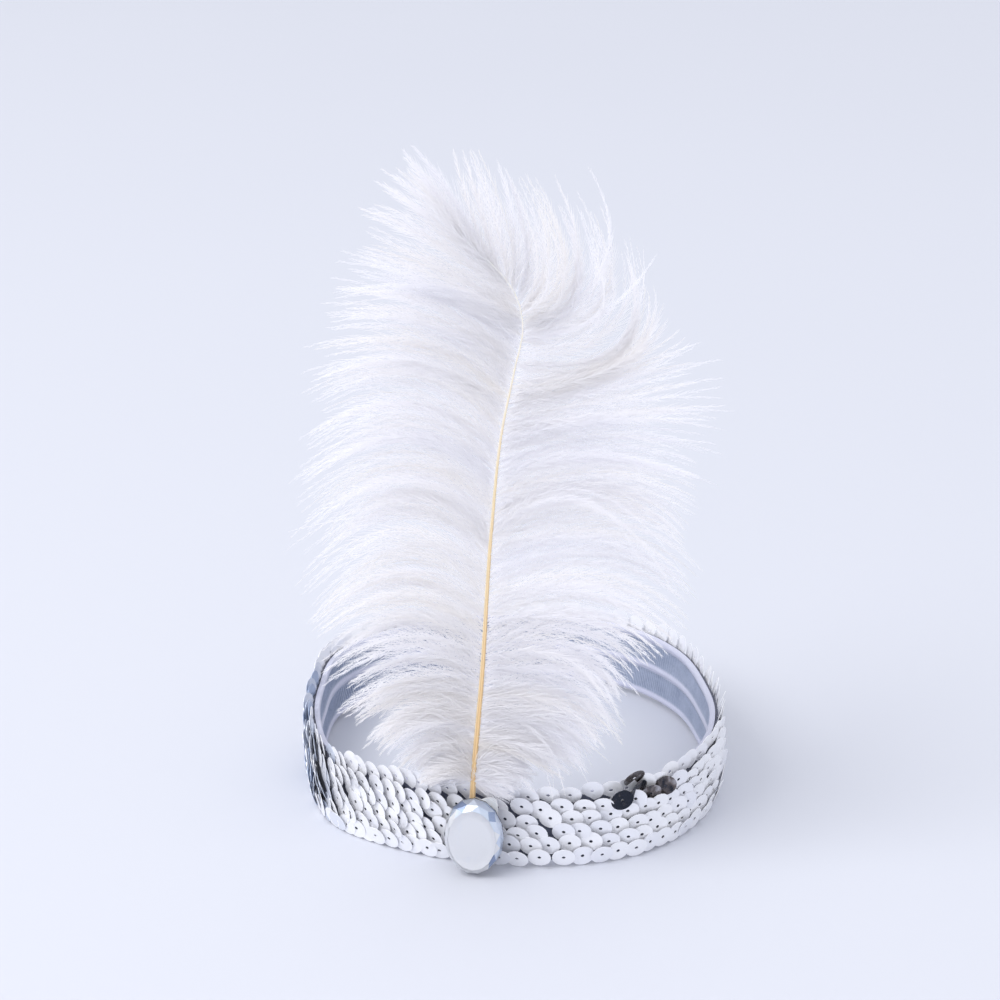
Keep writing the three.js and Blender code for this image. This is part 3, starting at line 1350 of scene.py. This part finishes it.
@dataclass
class GlueBead:
    """The blob of set glue behind the stone, with a bead that shows at its upper right."""

    bead: float = 4.6 * MM
    bead_across: float = 0.55
    bead_up: float = 0.84
    bead_tightness: int = 6
    depth_share: float = 0.98
    flatness: float = 1.6
    lumps: float = 0.5 * MM
    lump_size: float = 4 * MM
    lump_level: float = 0.6

    def build(self) -> None:
        """Shapes a ball into the pad, pulls its upper right out into a bead and roughens it."""
        low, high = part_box("glue_pad")
        size, middle = high - low, (high + low) / 2
        piece = start_piece(
            bpy.ops.mesh.primitive_uv_sphere_add, "glue_blob", segments=36, ring_count=20, radius=0.5
        )
        edit(piece)
        bpy.ops.mesh.select_all(action="SELECT")
        bpy.ops.transform.resize(value=(size.x, size.y * self.depth_share, size.z))
        done()
        for point in piece.data.vertices:
            flat = min(1.0, self.flatness * abs(point.co.y) / size.y)
            point.co.y = math.copysign(size.y * self.depth_share / 2 * flat, point.co.y)
        piece.location = middle
        set_place(piece)
        self.pull_bead(piece, middle, size)
        texture = bpy.data.textures.new("glue_lumps", "CLOUDS")
        texture.noise_scale = self.lump_size
        apply_modifier(
            piece, "DISPLACE", texture=texture, strength=self.lumps, mid_level=self.lump_level
        )
        bpy.ops.object.shade_smooth()
        settle(piece, [HotGlue().material()], "glue_pad")

    def pull_bead(self, piece: bpy.types.Object, middle: Vector, size: Vector) -> None:
        """Draws the points near the upper right rim out into a round bead.

        Args:
            piece: the blob.
            middle: the pad's middle.
            size: the pad's size.
        """
        way = Vector((self.bead_across, 0, self.bead_up)).normalized()
        for point in piece.data.vertices:
            from_middle = point.co - middle
            rim = Vector((from_middle.x / size.x, 0, from_middle.z / size.z)) * 2
            near = max(0.0, rim.dot(way))
            point.co += way * self.bead * near**self.bead_tightness


# The plume


@dataclass(frozen=True)
class ShaftRow:
    """The shaft at a share of its rise: lean to +X and bow away from the front, as shares."""

    rise: float
    lean: float
    bow: float


@dataclass(frozen=True)
class BarbRow:
    """Barbs that leave the shaft at a share of its rise.

    Their middle and tip lie out from the root and up from it, as shares of the longest barb's reach.
    """

    rise: float
    mid_out: float
    mid_up: float
    tip_out: float
    tip_up: float
    density: float = 1.0


RIGHT_BARBS = (
    BarbRow(0.105, 0.08, 0.03, 0.19, 0.00, 1.5),
    BarbRow(0.13, 0.12, 0.03, 0.26, -0.04, 1.5),
    BarbRow(0.16, 0.20, 0.02, 0.36, -0.10, 1.4),
    BarbRow(0.20, 0.31, 0.00, 0.54, -0.16, 1.3),
    BarbRow(0.256, 0.39, 0.01, 0.61, -0.16, 1.3),
    BarbRow(0.306, 0.44, 0.06, 0.70, -0.12, 1.3),
    BarbRow(0.357, 0.48, 0.11, 0.82, -0.07, 1.2),
    BarbRow(0.415, 0.51, 0.13, 0.91, -0.06),
    BarbRow(0.472, 0.55, 0.16, 0.98, -0.06),
    BarbRow(0.53, 0.54, 0.17, 0.97, -0.01),
    BarbRow(0.577, 0.52, 0.16, 0.99, 0.06),
    BarbRow(0.625, 0.51, 0.15, 1.00, 0.11),
    BarbRow(0.664, 0.49, 0.15, 1.01, 0.17),
    BarbRow(0.695, 0.47, 0.15, 1.00, 0.28, 0.8),
    BarbRow(0.725, 0.45, 0.15, 0.93, 0.36, 0.7),
    BarbRow(0.75, 0.49, 0.12, 0.70, 0.40, 0.7),
    BarbRow(0.765, 0.51, 0.12, 0.62, 0.46, 0.7),
    BarbRow(0.785, 0.50, 0.12, 0.58, 0.55, 0.3),
    BarbRow(0.805, 0.44, 0.16, 0.46, 0.60, 0.35),
    BarbRow(0.827, 0.36, 0.20, 0.32, 0.62, 0.8),
    BarbRow(0.842, 0.28, 0.23, 0.20, 0.65),
    BarbRow(0.86, 0.19, 0.25, 0.07, 0.66),
    BarbRow(0.886, 0.08, 0.27, -0.04, 0.65, 0.8),
    BarbRow(0.905, 0.01, 0.27, -0.09, 0.65, 0.7),
    BarbRow(0.925, -0.04, 0.26, -0.15, 0.62, 0.6),
    BarbRow(0.945, -0.08, 0.24, -0.21, 0.57, 0.6),
    BarbRow(0.965, -0.11, 0.21, -0.27, 0.49, 0.5),
    BarbRow(0.98, -0.12, 0.18, -0.29, 0.41, 0.5),
    BarbRow(0.995, -0.12, 0.14, -0.29, 0.33, 0.5),
)
LEFT_BARBS = (
    BarbRow(0.105, 0.08, 0.03, 0.18, -0.01, 1.5),
    BarbRow(0.13, 0.12, 0.03, 0.26, -0.06, 1.5),
    BarbRow(0.16, 0.16, 0.03, 0.33, -0.11, 1.4),
    BarbRow(0.205, 0.27, 0.03, 0.48, -0.14, 1.3),
    BarbRow(0.256, 0.33, 0.04, 0.67, -0.15, 1.3),
    BarbRow(0.306, 0.37, 0.09, 0.75, -0.12, 1.3),
    BarbRow(0.365, 0.41, 0.13, 0.80, -0.12, 1.2),
    BarbRow(0.423, 0.42, 0.17, 0.86, -0.12),
    BarbRow(0.489, 0.43, 0.20, 0.92, -0.14),
    BarbRow(0.545, 0.43, 0.20, 0.93, -0.10),
    BarbRow(0.593, 0.44, 0.21, 0.94, -0.05),
    BarbRow(0.64, 0.43, 0.22, 0.92, 0.02),
    BarbRow(0.687, 0.42, 0.23, 0.92, 0.09),
    BarbRow(0.726, 0.40, 0.24, 0.92, 0.17),
    BarbRow(0.77, 0.38, 0.23, 0.87, 0.24),
    BarbRow(0.807, 0.37, 0.22, 0.82, 0.31),
    BarbRow(0.842, 0.36, 0.20, 0.78, 0.35),
    BarbRow(0.879, 0.35, 0.22, 0.73, 0.37, 0.8),
    BarbRow(0.908, 0.32, 0.24, 0.63, 0.39, 0.7),
    BarbRow(0.934, 0.26, 0.24, 0.50, 0.42, 0.6),
    BarbRow(0.957, 0.20, 0.22, 0.39, 0.41, 0.5),
    BarbRow(0.975, 0.16, 0.18, 0.32, 0.37, 0.5),
    BarbRow(0.995, 0.13, 0.14, 0.28, 0.31, 0.5),
)


@dataclass(frozen=True)
class Loose:
    """A few barbs that stand away from the rest, on one side of the plume."""

    side: Side
    barb: BarbRow
    count: int
    spread: float


LOOSE_BARBS = (
    Loose(Side.RIGHT, BarbRow(0.849, 0.38, 0.34, 0.30, 0.82), 2, 0.012),
    Loose(Side.RIGHT, BarbRow(0.79, 0.49, 0.10, 0.55, 0.60), 7, 0.03),
    Loose(Side.RIGHT, BarbRow(0.827, 0.37, 0.17, 0.65, 0.49), 2, 0.012),
    Loose(Side.LEFT, BarbRow(0.857, 0.38, 0.17, 0.90, 0.14), 3, 0.02),
    Loose(Side.LEFT, BarbRow(0.842, 0.38, 0.16, 0.90, 0.11), 3, 0.02),
    Loose(Side.RIGHT, BarbRow(0.255, 0.30, -0.04, 0.56, -0.39), 3, 0.03),
    Loose(Side.RIGHT, BarbRow(0.221, 0.28, -0.06, 0.41, -0.38), 4, 0.03),
    Loose(Side.RIGHT, BarbRow(0.23, 0.33, -0.01, 0.64, -0.11), 4, 0.04),
    Loose(Side.RIGHT, BarbRow(0.52, 0.45, 0.25, 0.93, -0.12), 5, 0.05),
    Loose(Side.LEFT, BarbRow(0.50, 0.40, 0.18, 0.97, -0.10), 4, 0.05),
)


@dataclass
class BarbSet:
    """The roots, middles and tips of a number of barbs, with their tones."""

    root: np.ndarray
    middle: np.ndarray
    tip: np.ndarray
    tone: np.ndarray

    def at(self, share: np.ndarray) -> np.ndarray:
        """Points along every barb.

        Args:
            share: shares of the barbs' length, one row of them for each barb.

        Returns:
            A point for each share.
        """
        s = share[..., None]
        return (
            self.root[:, None] * (1 - s) * (1 - 2 * s)
            + self.middle[:, None] * 4 * s * (1 - s)
            + self.tip[:, None] * s * (2 * s - 1)
        )

    def way(self, share: np.ndarray) -> np.ndarray:
        """Unit ways along every barb at those shares."""
        s = share[..., None]
        slope = (
            self.root[:, None] * (4 * s - 3)
            + self.middle[:, None] * (4 - 8 * s)
            + self.tip[:, None] * (4 * s - 1)
        )
        return slope / np.linalg.norm(slope, axis=-1, keepdims=True)

    def some(self, chosen: slice) -> "BarbSet":
        """The barbs in a slice."""
        return BarbSet(self.root[chosen], self.middle[chosen], self.tip[chosen], self.tone[chosen])


ASKEW = np.array([0.21, 0.93, 0.3])
BACKWARDS = np.array([0.0, 1.0, 0.0])


def unit(ways: np.ndarray) -> np.ndarray:
    """The same ways at unit length."""
    return ways / (np.linalg.norm(ways, axis=-1, keepdims=True) + TINY)


def tapered_strands(paths: np.ndarray, radii: np.ndarray) -> tuple[np.ndarray, np.ndarray]:
    """Three-sided strands that end in a point, along paths of equal length.

    Args:
        paths: the points of each path.
        radii: a radius for each point but the last.

    Returns:
        The points and the triangles of all strands.
    """
    count, steps, _ = paths.shape
    ways = unit(np.gradient(paths, axis=1))
    across = unit(np.cross(ways, ASKEW))
    through = np.cross(ways, across)
    rings = []
    for corner in range(3):
        angle = math.tau * corner / 3
        offset = across * math.cos(angle) + through * math.sin(angle)
        rings.append(paths[:, :-1] + offset[:, :-1] * radii[..., None])
    body = np.stack(rings, axis=2).reshape(count, -1, 3)
    points = np.concatenate([body, paths[:, -1:]], axis=1)
    triangles = [(0, 2, 1)]
    for ring in range(steps - 2):
        for corner in range(3):
            here, beside = ring * 3 + corner, ring * 3 + (corner + 1) % 3
            triangles += [(here, beside, beside + 3), (here, beside + 3, here + 3)]
    last = (steps - 2) * 3
    triangles += [(last + corner, last + (corner + 1) % 3, (steps - 1) * 3) for corner in range(3)]
    pattern = np.array(triangles)
    size = points.shape[1]
    faces = (pattern[None] + (np.arange(count) * size)[:, None, None]).reshape(-1, 3)
    return points.reshape(-1, 3), faces


@dataclass
class Plume:
    """One curling plume: a quill with barbs on both sides, each fringed with barbules."""

    plan: BandPlan
    quill_out: float = 66.35 * MM
    foot: float = 8 * MM
    height: float = 187 * MM
    lean: float = 13.2 * MM
    bow: float = 4 * MM
    foot_width: float = 1.9 * MM
    tip_width: float = 0.25 * MM
    reach: float = 58 * MM
    depth: float = 30 * MM
    barbs_a_side: int = 264
    parts_a_side: int = 3
    barb_radius: float = 0.13 * MM
    barb_steps: int = 11
    barbules: int = 114
    barbule_length: float = 8 * MM
    barbule_radius: float = 0.07 * MM
    root_fill: float = 1.25
    down: float = 1.15
    loose_fluff: float = 0.6
    quill_rows: int = 44
    quill_sides: int = 12
    quill_taper: float = 0.8
    quill_smooth_below: float = 40.0
    groove_width: float = 0.97
    groove_depth: float = 0.45
    side_paling_width: float = 0.6
    lock_chance: float = 0.26
    lock_depth: float = 0.3
    barb_depth: float = 0.38
    middle_back: float = 0.2
    tip_back: float = 0.38
    length_spreads: tuple[float, float] = (0.06, 0.02)
    lift_spreads: tuple[float, float] = (0.022, 0.006)
    pull_least: float = 0.1
    pull_range: float = 0.45
    middle_pull: float = 0.2
    lock_tone: float = 0.08
    tone: float = 0.42
    tone_spread: float = 0.16
    barb_taper: float = 0.75
    barbule_reach: float = 0.98
    barbule_spread: tuple[float, float] = (10, 42)
    barbule_closing: float = 0.4
    barbule_curl: float = 0.35
    barbule_lengths: tuple[tuple[float, float], ...] = (
        (0, 0.8), (0.15, 1.0), (0.5, 0.95), (0.78, 0.48), (1, 0.12),
    )
    shaft: tuple[ShaftRow, ...] = (
        ShaftRow(0.0, -0.11, 0.0),
        ShaftRow(0.09, -0.07, 0.0),
        ShaftRow(0.29, 0.13, 0.3),
        ShaftRow(0.52, 0.30, 0.9),
        ShaftRow(0.69, 0.54, 1.0),
        ShaftRow(0.78, 0.80, 0.7),
        ShaftRow(0.86, 1.00, 0.2),
        ShaftRow(0.92, 0.76, -0.5),
        ShaftRow(0.97, 0.14, -1.1),
        ShaftRow(1.0, -0.36, -1.5),
    )

    def shaft_point(self, rise: np.ndarray) -> np.ndarray:
        """Points on the shaft's middle line.

        Args:
            rise: shares of the shaft's rise.

        Returns:
            A point for each.
        """
        rows = np.array([row.rise for row in self.shaft])
        table = np.array([(row.lean, row.bow) for row in self.shaft])
        slopes = np.gradient(table, rows, axis=0)
        index = np.clip(np.searchsorted(rows, rise, side="right") - 1, 0, len(rows) - 2)
        span = rows[index + 1] - rows[index]
        smooth = eased(
            ((rise - rows[index]) / span)[..., None],
            table[index],
            table[index + 1],
            slopes[index] * span[..., None],
            slopes[index + 1] * span[..., None],
        )
        centre = self.plan.centre
        return np.stack(
            [
                centre[0] + self.lean * smooth[..., 0],
                centre[1] + self.bow * smooth[..., 1] - self.quill_out,
                self.foot + self.height * rise,
            ],
            axis=-1,
        )

    def quill(self) -> None:
        """Models the quill: a many-sided foot drawn up along the shaft, narrowed and grooved."""
        rises = np.linspace(0, 1, self.quill_rows)
        line = self.shaft_point(rises)
        piece = start_piece(
            bpy.ops.mesh.primitive_circle_add,
            "quill",
            vertices=self.quill_sides,
            radius=self.foot_width / 2,
            fill_type="NGON",
            location=Vector(line[0]),
        )
        set_place(piece)
        edit(piece)
        bpy.ops.mesh.select_all(action="SELECT")
        slimming = self.tip_width - self.foot_width
        for here, above, rise in zip(line, line[1:], rises[1:]):
            width = self.foot_width + slimming * rise**self.quill_taper
            before = self.foot_width + slimming * (rise - rises[1]) ** self.quill_taper
            bpy.ops.mesh.extrude_region_move(TRANSFORM_OT_translate={"value": Vector(above - here)})
            share = width / before if rise > rises[1] else 1.0
            bpy.ops.transform.resize(value=(share, share, 1.0), center_override=Vector(above))
        done()
        close_and_face_out(piece)
        self.press_groove(piece)
        pick_alone(piece)
        bpy.ops.object.shade_smooth_by_angle(angle=math.radians(self.quill_smooth_below))
        places = places_of(piece)
        middles = self.shaft_point(np.clip((places[:, 2] - self.foot) / self.height, 0, 1))
        # the quill is paler towards its -X side
        across = (places[:, 0] - middles[:, 0]) / (self.side_paling_width * self.foot_width)
        paint(piece, "paler_side", np.clip(0.5 - across, 0, 1))
        settle(piece, [QuillHorn().material()], "plume")

    def press_groove(self, piece: bpy.types.Object) -> None:
        """Presses a shallow groove down the quill's front."""
        heights = np.array([point.co.z for point in piece.data.vertices])
        middles = self.shaft_point(np.clip((heights - self.foot) / self.height, 0, 1))
        for point, middle in zip(piece.data.vertices, middles):
            radius = math.hypot(point.co.x - middle[0], point.co.y - middle[1])
            if radius > 0 and (middle[1] - point.co.y) / radius > self.groove_width:
                point.co.y += self.groove_depth * radius

    def side_barbs(self, side: Side, rows: Sequence[BarbRow], seed: int) -> BarbSet:
        """Lays out the barbs of one side: evenly down the table, gathered in locks, spread back and forth in
        depth.

        Args:
            side: which side.
            rows: that side's table.
            seed: for its random draws.

        Returns:
            The barbs from the lowest up.
        """
        draw = np.random.default_rng(seed)
        count = self.barbs_a_side
        names = ("rise", "mid_out", "mid_up", "tip_out", "tip_up")
        table = np.array([[getattr(row, name) for name in names] for row in rows])
        travel = self.travel(table, np.array([row.density for row in rows]))
        place = (np.arange(count) + draw.random(count)) / count * travel[-1]
        lock = np.cumsum(draw.random(count) < self.lock_chance)
        locks = lock[-1] + 1
        depth = draw.uniform(-self.lock_depth, self.lock_depth, locks)[lock]
        depth = depth + draw.normal(0, self.barb_depth, count)
        barb_part, lock_part = self.length_spreads
        longer = 1 + draw.normal(0, barb_part, count) + draw.normal(0, lock_part, locks)[lock]
        barb_part, lock_part = self.lift_spreads
        lift = draw.normal(0, barb_part, count) + draw.normal(0, lock_part, locks)[lock]
        columns = [np.interp(place, travel, column) for column in table.T]
        barbs = self.barbs_from(side, columns, depth, longer, lift, draw)
        self.gather(barbs, lock, draw)
        return barbs

    def travel(self, table: np.ndarray, density: np.ndarray) -> np.ndarray:
        """How far roots and tips move from the table's first row to each, so that barbs spread evenly.

        Args:
            table: rise, mid_out, mid_up, tip_out and tip_up for each row.
            density: how close the barbs stand at each row.

        Returns:
            A growing number for each row.
        """
        rise, _, _, tip_out, tip_up = table.T
        tips = np.stack([tip_out * self.reach, rise * self.height + tip_up * self.reach], -1)
        steps = 0.5 * np.linalg.norm(np.diff(tips, axis=0), axis=1) + 0.5 * np.diff(rise) * self.height
        return np.concatenate([[0.0], np.cumsum(steps * (density[1:] + density[:-1]) / 2)])

    def barbs_from(
        self,
        side: Side,
        columns: Sequence[np.ndarray],
        depth: np.ndarray,
        longer: np.ndarray,
        lift: np.ndarray,
        draw: np.random.Generator,
    ) -> BarbSet:
        """Turns table shares into points.

        Args:
            side: which side.
            columns: rise, mid_out, mid_up, tip_out and tip_up for each barb.
            depth: how far each barb goes back, as a share; negative is forwards.
            longer: each barb's length as a share of the table's.
            lift: how much higher each middle lies, as a share of the reach.
            draw: the random draws.

        Returns:
            The barbs.
        """
        rise, mid_out, mid_up, tip_out, tip_up = columns
        root = self.shaft_point(np.clip(rise, 0, 1))
        back = depth * self.depth

        def from_root(out: np.ndarray, up: np.ndarray, back_share: float) -> np.ndarray:
            """Points at table shares out and up from the roots."""
            across = side.value * self.reach * out * longer
            return root + np.stack([across, back * back_share, self.reach * (up * longer + lift)], -1)

        middle = from_root(mid_out, mid_up, self.middle_back)
        tip = from_root(tip_out, tip_up, self.tip_back)
        tone = np.clip(self.tone + draw.normal(0, self.tone_spread, len(rise)), 0, 1)
        return BarbSet(root, middle, tip, tone)

    def gather(self, barbs: BarbSet, lock: np.ndarray, draw: np.random.Generator) -> None:
        """Draws the tips of each lock towards one tip.

        Args:
            barbs: the barbs, which are changed.
            lock: each barb's lock.
            draw: the random draws.
        """
        for number in np.unique(lock):
            members = np.flatnonzero(lock == number)
            leader = members[len(members) // 2]
            pull = self.pull_least + self.pull_range * draw.random()
            barbs.tip[members] += (barbs.tip[leader] - barbs.tip[members]) * pull
            to_leader = barbs.middle[leader] - barbs.middle[members]
            barbs.middle[members] += to_leader * pull * self.middle_pull
            barbs.tone[members] += self.lock_tone * draw.normal()

    def loose_barbs(self) -> BarbSet:
        """Lays out the barbs that stand away from the rest."""
        draw = np.random.default_rng(41)
        sets = []
        for loose in LOOSE_BARBS:
            barb = loose.barb
            shares = np.array([barb.rise, barb.mid_out, barb.mid_up, barb.tip_out, barb.tip_up])
            freedom = np.array([0.2, 0.6, 0.6, 1.0, 1.0])
            scatter = draw.normal(0, loose.spread, (5, loose.count)) * freedom[:, None]
            columns = list(shares[:, None] + scatter)
            depth = draw.uniform(-0.9, 0.2) + draw.normal(0, 0.1, loose.count)
            flat = np.zeros(loose.count)
            sets.append(self.barbs_from(loose.side, columns, depth, flat + 1, flat, draw))
        names = ("root", "middle", "tip", "tone")
        return BarbSet(*(np.concatenate([getattr(barbs, name) for barbs in sets]) for name in names))

    def strands(self, name: str, barbs: BarbSet, seed: int, fluff: float) -> None:
        """Makes one piece from barbs, with barbules along each.

        Args:
            name: the piece's name.
            barbs: the barbs.
            seed: for its random draws.
            fluff: the barbules' length as a share of the full one.
        """
        draw = np.random.default_rng(seed)
        count = len(barbs.root)
        shares = np.tile(np.linspace(0, 1, self.barb_steps), (count, 1))
        paths = barbs.at(shares)
        radii = self.barb_radius * (1 - self.barb_taper * shares[:, :-1])
        points, faces = tapered_strands(paths, radii)
        tones = np.repeat(barbs.tone, len(points) // count)
        fine_points, fine_faces, fine_tones = self.barbules_on(barbs, draw, fluff)
        piece = joined(
            name,
            np.concatenate([points, fine_points]),
            np.concatenate([faces, fine_faces + len(points)]),
        )
        paint(piece, "tone", np.concatenate([tones, fine_tones]))
        settle(piece, [self.barb_finish], "plume")

    def barbules_on(
        self, barbs: BarbSet, draw: np.random.Generator, fluff: float
    ) -> tuple[np.ndarray, np.ndarray, np.ndarray]:
        """Makes the barbules that leave each barb at a low angle on both sides.

        Args:
            barbs: the barbs.
            draw: the random draws.
            fluff: their length as a share of the full one.

        Returns:
            Their points, triangles and tones.
        """
        count = len(barbs.root)
        shares = (np.arange(self.barbules) + draw.random((count, self.barbules))) / self.barbules
        shares = self.barbule_reach * shares**self.root_fill
        roots, ways = barbs.at(shares), barbs.way(shares)
        across = unit(np.cross(ways, BACKWARDS))
        roll = draw.uniform(-1.0, 1.0, shares.shape)
        roll = roll + np.where(draw.random(shares.shape) < 0.5, 0, math.pi)
        outward = across * np.cos(roll)[..., None] + BACKWARDS * np.sin(roll)[..., None]
        length = np.interp(shares, *zip(*self.barbule_lengths))
        length = length * self.barbule_length * fluff * draw.uniform(0.7, 1.15, shares.shape)
        angle = draw.uniform(*self.barbule_spread, shares.shape) * (1 - self.barbule_closing * shares)
        spread = np.tan(np.radians(angle))
        steps = np.array([0.0, 0.5, 1.0])
        curl = steps * (1 - self.barbule_curl * steps)
        forward = ways[:, :, None] * steps[None, None, :, None]
        sideways = outward[:, :, None] * (spread[..., None] * curl)[..., None]
        paths = roots[:, :, None] + (forward + sideways) * length[..., None, None]
        paths = paths.reshape(-1, len(steps), 3)
        radii = np.tile(self.barbule_radius * np.array([1.0, 0.85]), (len(paths), 1))
        points, faces = tapered_strands(paths, radii)
        tones = np.repeat(barbs.tone, self.barbules * len(points) // len(paths))
        return points, faces, tones

    def build(self) -> None:
        """Makes the quill and the barbs, in pieces that stay small enough to keep whole."""
        self.barb_finish = FeatherBarbs().material()
        self.quill()
        sides = ((Side.RIGHT, RIGHT_BARBS, 11), (Side.LEFT, LEFT_BARBS, 23))
        for side, rows, seed in sides:
            barbs = self.side_barbs(side, rows, seed)
            share = math.ceil(self.barbs_a_side / self.parts_a_side)
            for part in range(self.parts_a_side):
                name = f"barbs_{side.name.lower()}_{part + 1}"
                chosen = slice(part * share, (part + 1) * share)
                fluff = self.down if part == 0 else 1.0
                self.strands(name, barbs.some(chosen), seed + part, fluff)
        self.strands("barbs_loose", self.loose_barbs(), 37, self.loose_fluff)


# The studio


@dataclass
class Studio:
    """Pale floor, soft light and the camera."""

    plan: BandPlan
    elevation: float = 27.0
    azimuth: float = 10.0
    distance: float = 0.9
    lens: float = 102.7
    sensor: float = 36.0
    aim_right: float = 17.5
    aim_down: float = 267.0
    picture: float = 1000.0
    floor_size: float = 24.0
    room_colour: Colour = (0.90, 0.91, 0.95)
    room_strength: float = 1.05
    target_up: float = 80 * MM
    key_place: tuple[float, float, float] = (-1.3, -1.3, 2.0)
    key_size: float = 1.5
    key_watts: float = 39.0
    key_colour: Colour = (1.0, 0.99, 0.98)

    def camera(self) -> None:
        """Sets the camera at the photograph's angle, without shift."""
        data = bpy.data.cameras.new("camera")
        data.lens, data.sensor_width = self.lens, self.sensor
        data.clip_start, data.clip_end = 0.01, 60.0
        camera = bpy.data.objects.new("camera", data)
        bpy.context.scene.collection.objects.link(camera)
        up, round_ = math.radians(self.elevation), math.radians(self.azimuth)
        back = Vector((math.sin(round_) * math.cos(up), -math.cos(round_) * math.cos(up), math.sin(up)))
        camera.location = Vector(self.plan.centre) + back * self.distance
        focal = self.lens / self.sensor * self.picture
        turn = Matrix.Rotation(round_ + math.atan(self.aim_right / focal), 4, "Z")
        tilt = Matrix.Rotation(math.radians(90) - up + math.atan(self.aim_down / focal), 4, "X")
        camera.matrix_world = Matrix.Translation(camera.location) @ turn @ tilt
        bpy.context.scene.camera = camera

    def floor(self) -> None:
        """Lays the pale floor."""
        piece = start_piece(bpy.ops.mesh.primitive_plane_add, "floor", size=self.floor_size)
        edit(piece)
        bpy.ops.mesh.select_all(action="SELECT")
        bpy.ops.mesh.subdivide(number_cuts=3)
        done()
        piece.data.materials.append(StudioPaper().material())

    def room(self) -> None:
        """Makes a bright, even room."""
        scene = bpy.context.scene
        scene.view_settings.view_transform = "Standard"
        world = bpy.data.worlds.new("room")
        world.use_nodes = True
        light = world.node_tree.nodes["Background"]
        light.inputs["Color"].default_value = (*self.room_colour, 1.0)
        light.inputs["Strength"].default_value = self.room_strength
        scene.world = world

    def key_lamp(self) -> None:
        """Hangs one large, soft, square lamp at the left."""
        target = Vector(self.plan.centre) + Vector((0, 0, self.target_up))
        data = bpy.data.lights.new("key", "AREA")
        data.size, data.energy, data.color = self.key_size, self.key_watts, self.key_colour
        lamp = bpy.data.objects.new("key", data)
        lamp.location = target + Vector(self.key_place)
        lamp.rotation_mode = "QUATERNION"
        lamp.rotation_quaternion = Vector(self.key_place).to_track_quat("Z", "Y")
        bpy.context.scene.collection.objects.link(lamp)

    def build(self) -> None:
        """Sets up the whole studio."""
        self.floor()
        self.room()
        self.key_lamp()
        self.camera()


def sew(strip: StretchStrip, node: str) -> None:
    """Makes and dresses one strip of cloth.

    Args:
        strip: the strip.
        node: the solid that it stands for.
    """
    cloth = strip.build()
    settle(cloth, [strip.finish.material()], node)


def main() -> None:
    """Builds the studio and every piece of the headband."""
    logging.basicConfig(level=logging.INFO, format="%(name)s %(message)s")
    plan = BandPlan()
    Studio(plan).build()

    low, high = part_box("band_lining")
    lining = StretchStrip(
        "lining_cloth",
        plan,
        StretchCloth("lining_ribbed_knit", (0.23, 0.275, 0.385), (0.38, 0.43, 0.555), (0.54, 0.555, 0.68)),
        lining_rows(low.z, high.z, seam=1.6 * MM, rise=0.5 * MM, thickness=1.2 * MM),
        inside=0.4 * MM,
    )
    sew(lining, "band_lining")
    edge = 0.4 * MM
    # The base's near-black colours are painted shade: they darken the gaps between the sequins.
    base = StretchStrip(
        "sequin_base",
        plan,
        StretchCloth("base_cloth_painted_shade", (0.03, 0.035, 0.065), (0.09, 0.10, 0.15), (0.14, 0.15, 0.22)),
        base_rows(low.z + edge, high.z - edge, thickness=0.8 * MM),
        inside=1.7 * MM,
        ribs=130,
        columns=2,
    )
    sew(base, "sequin_band")

    SequinField(plan).build()
    CutStone().build()
    GlueBead().build()
    Plume(plan).build()


if __name__ == "__main__":
    main()
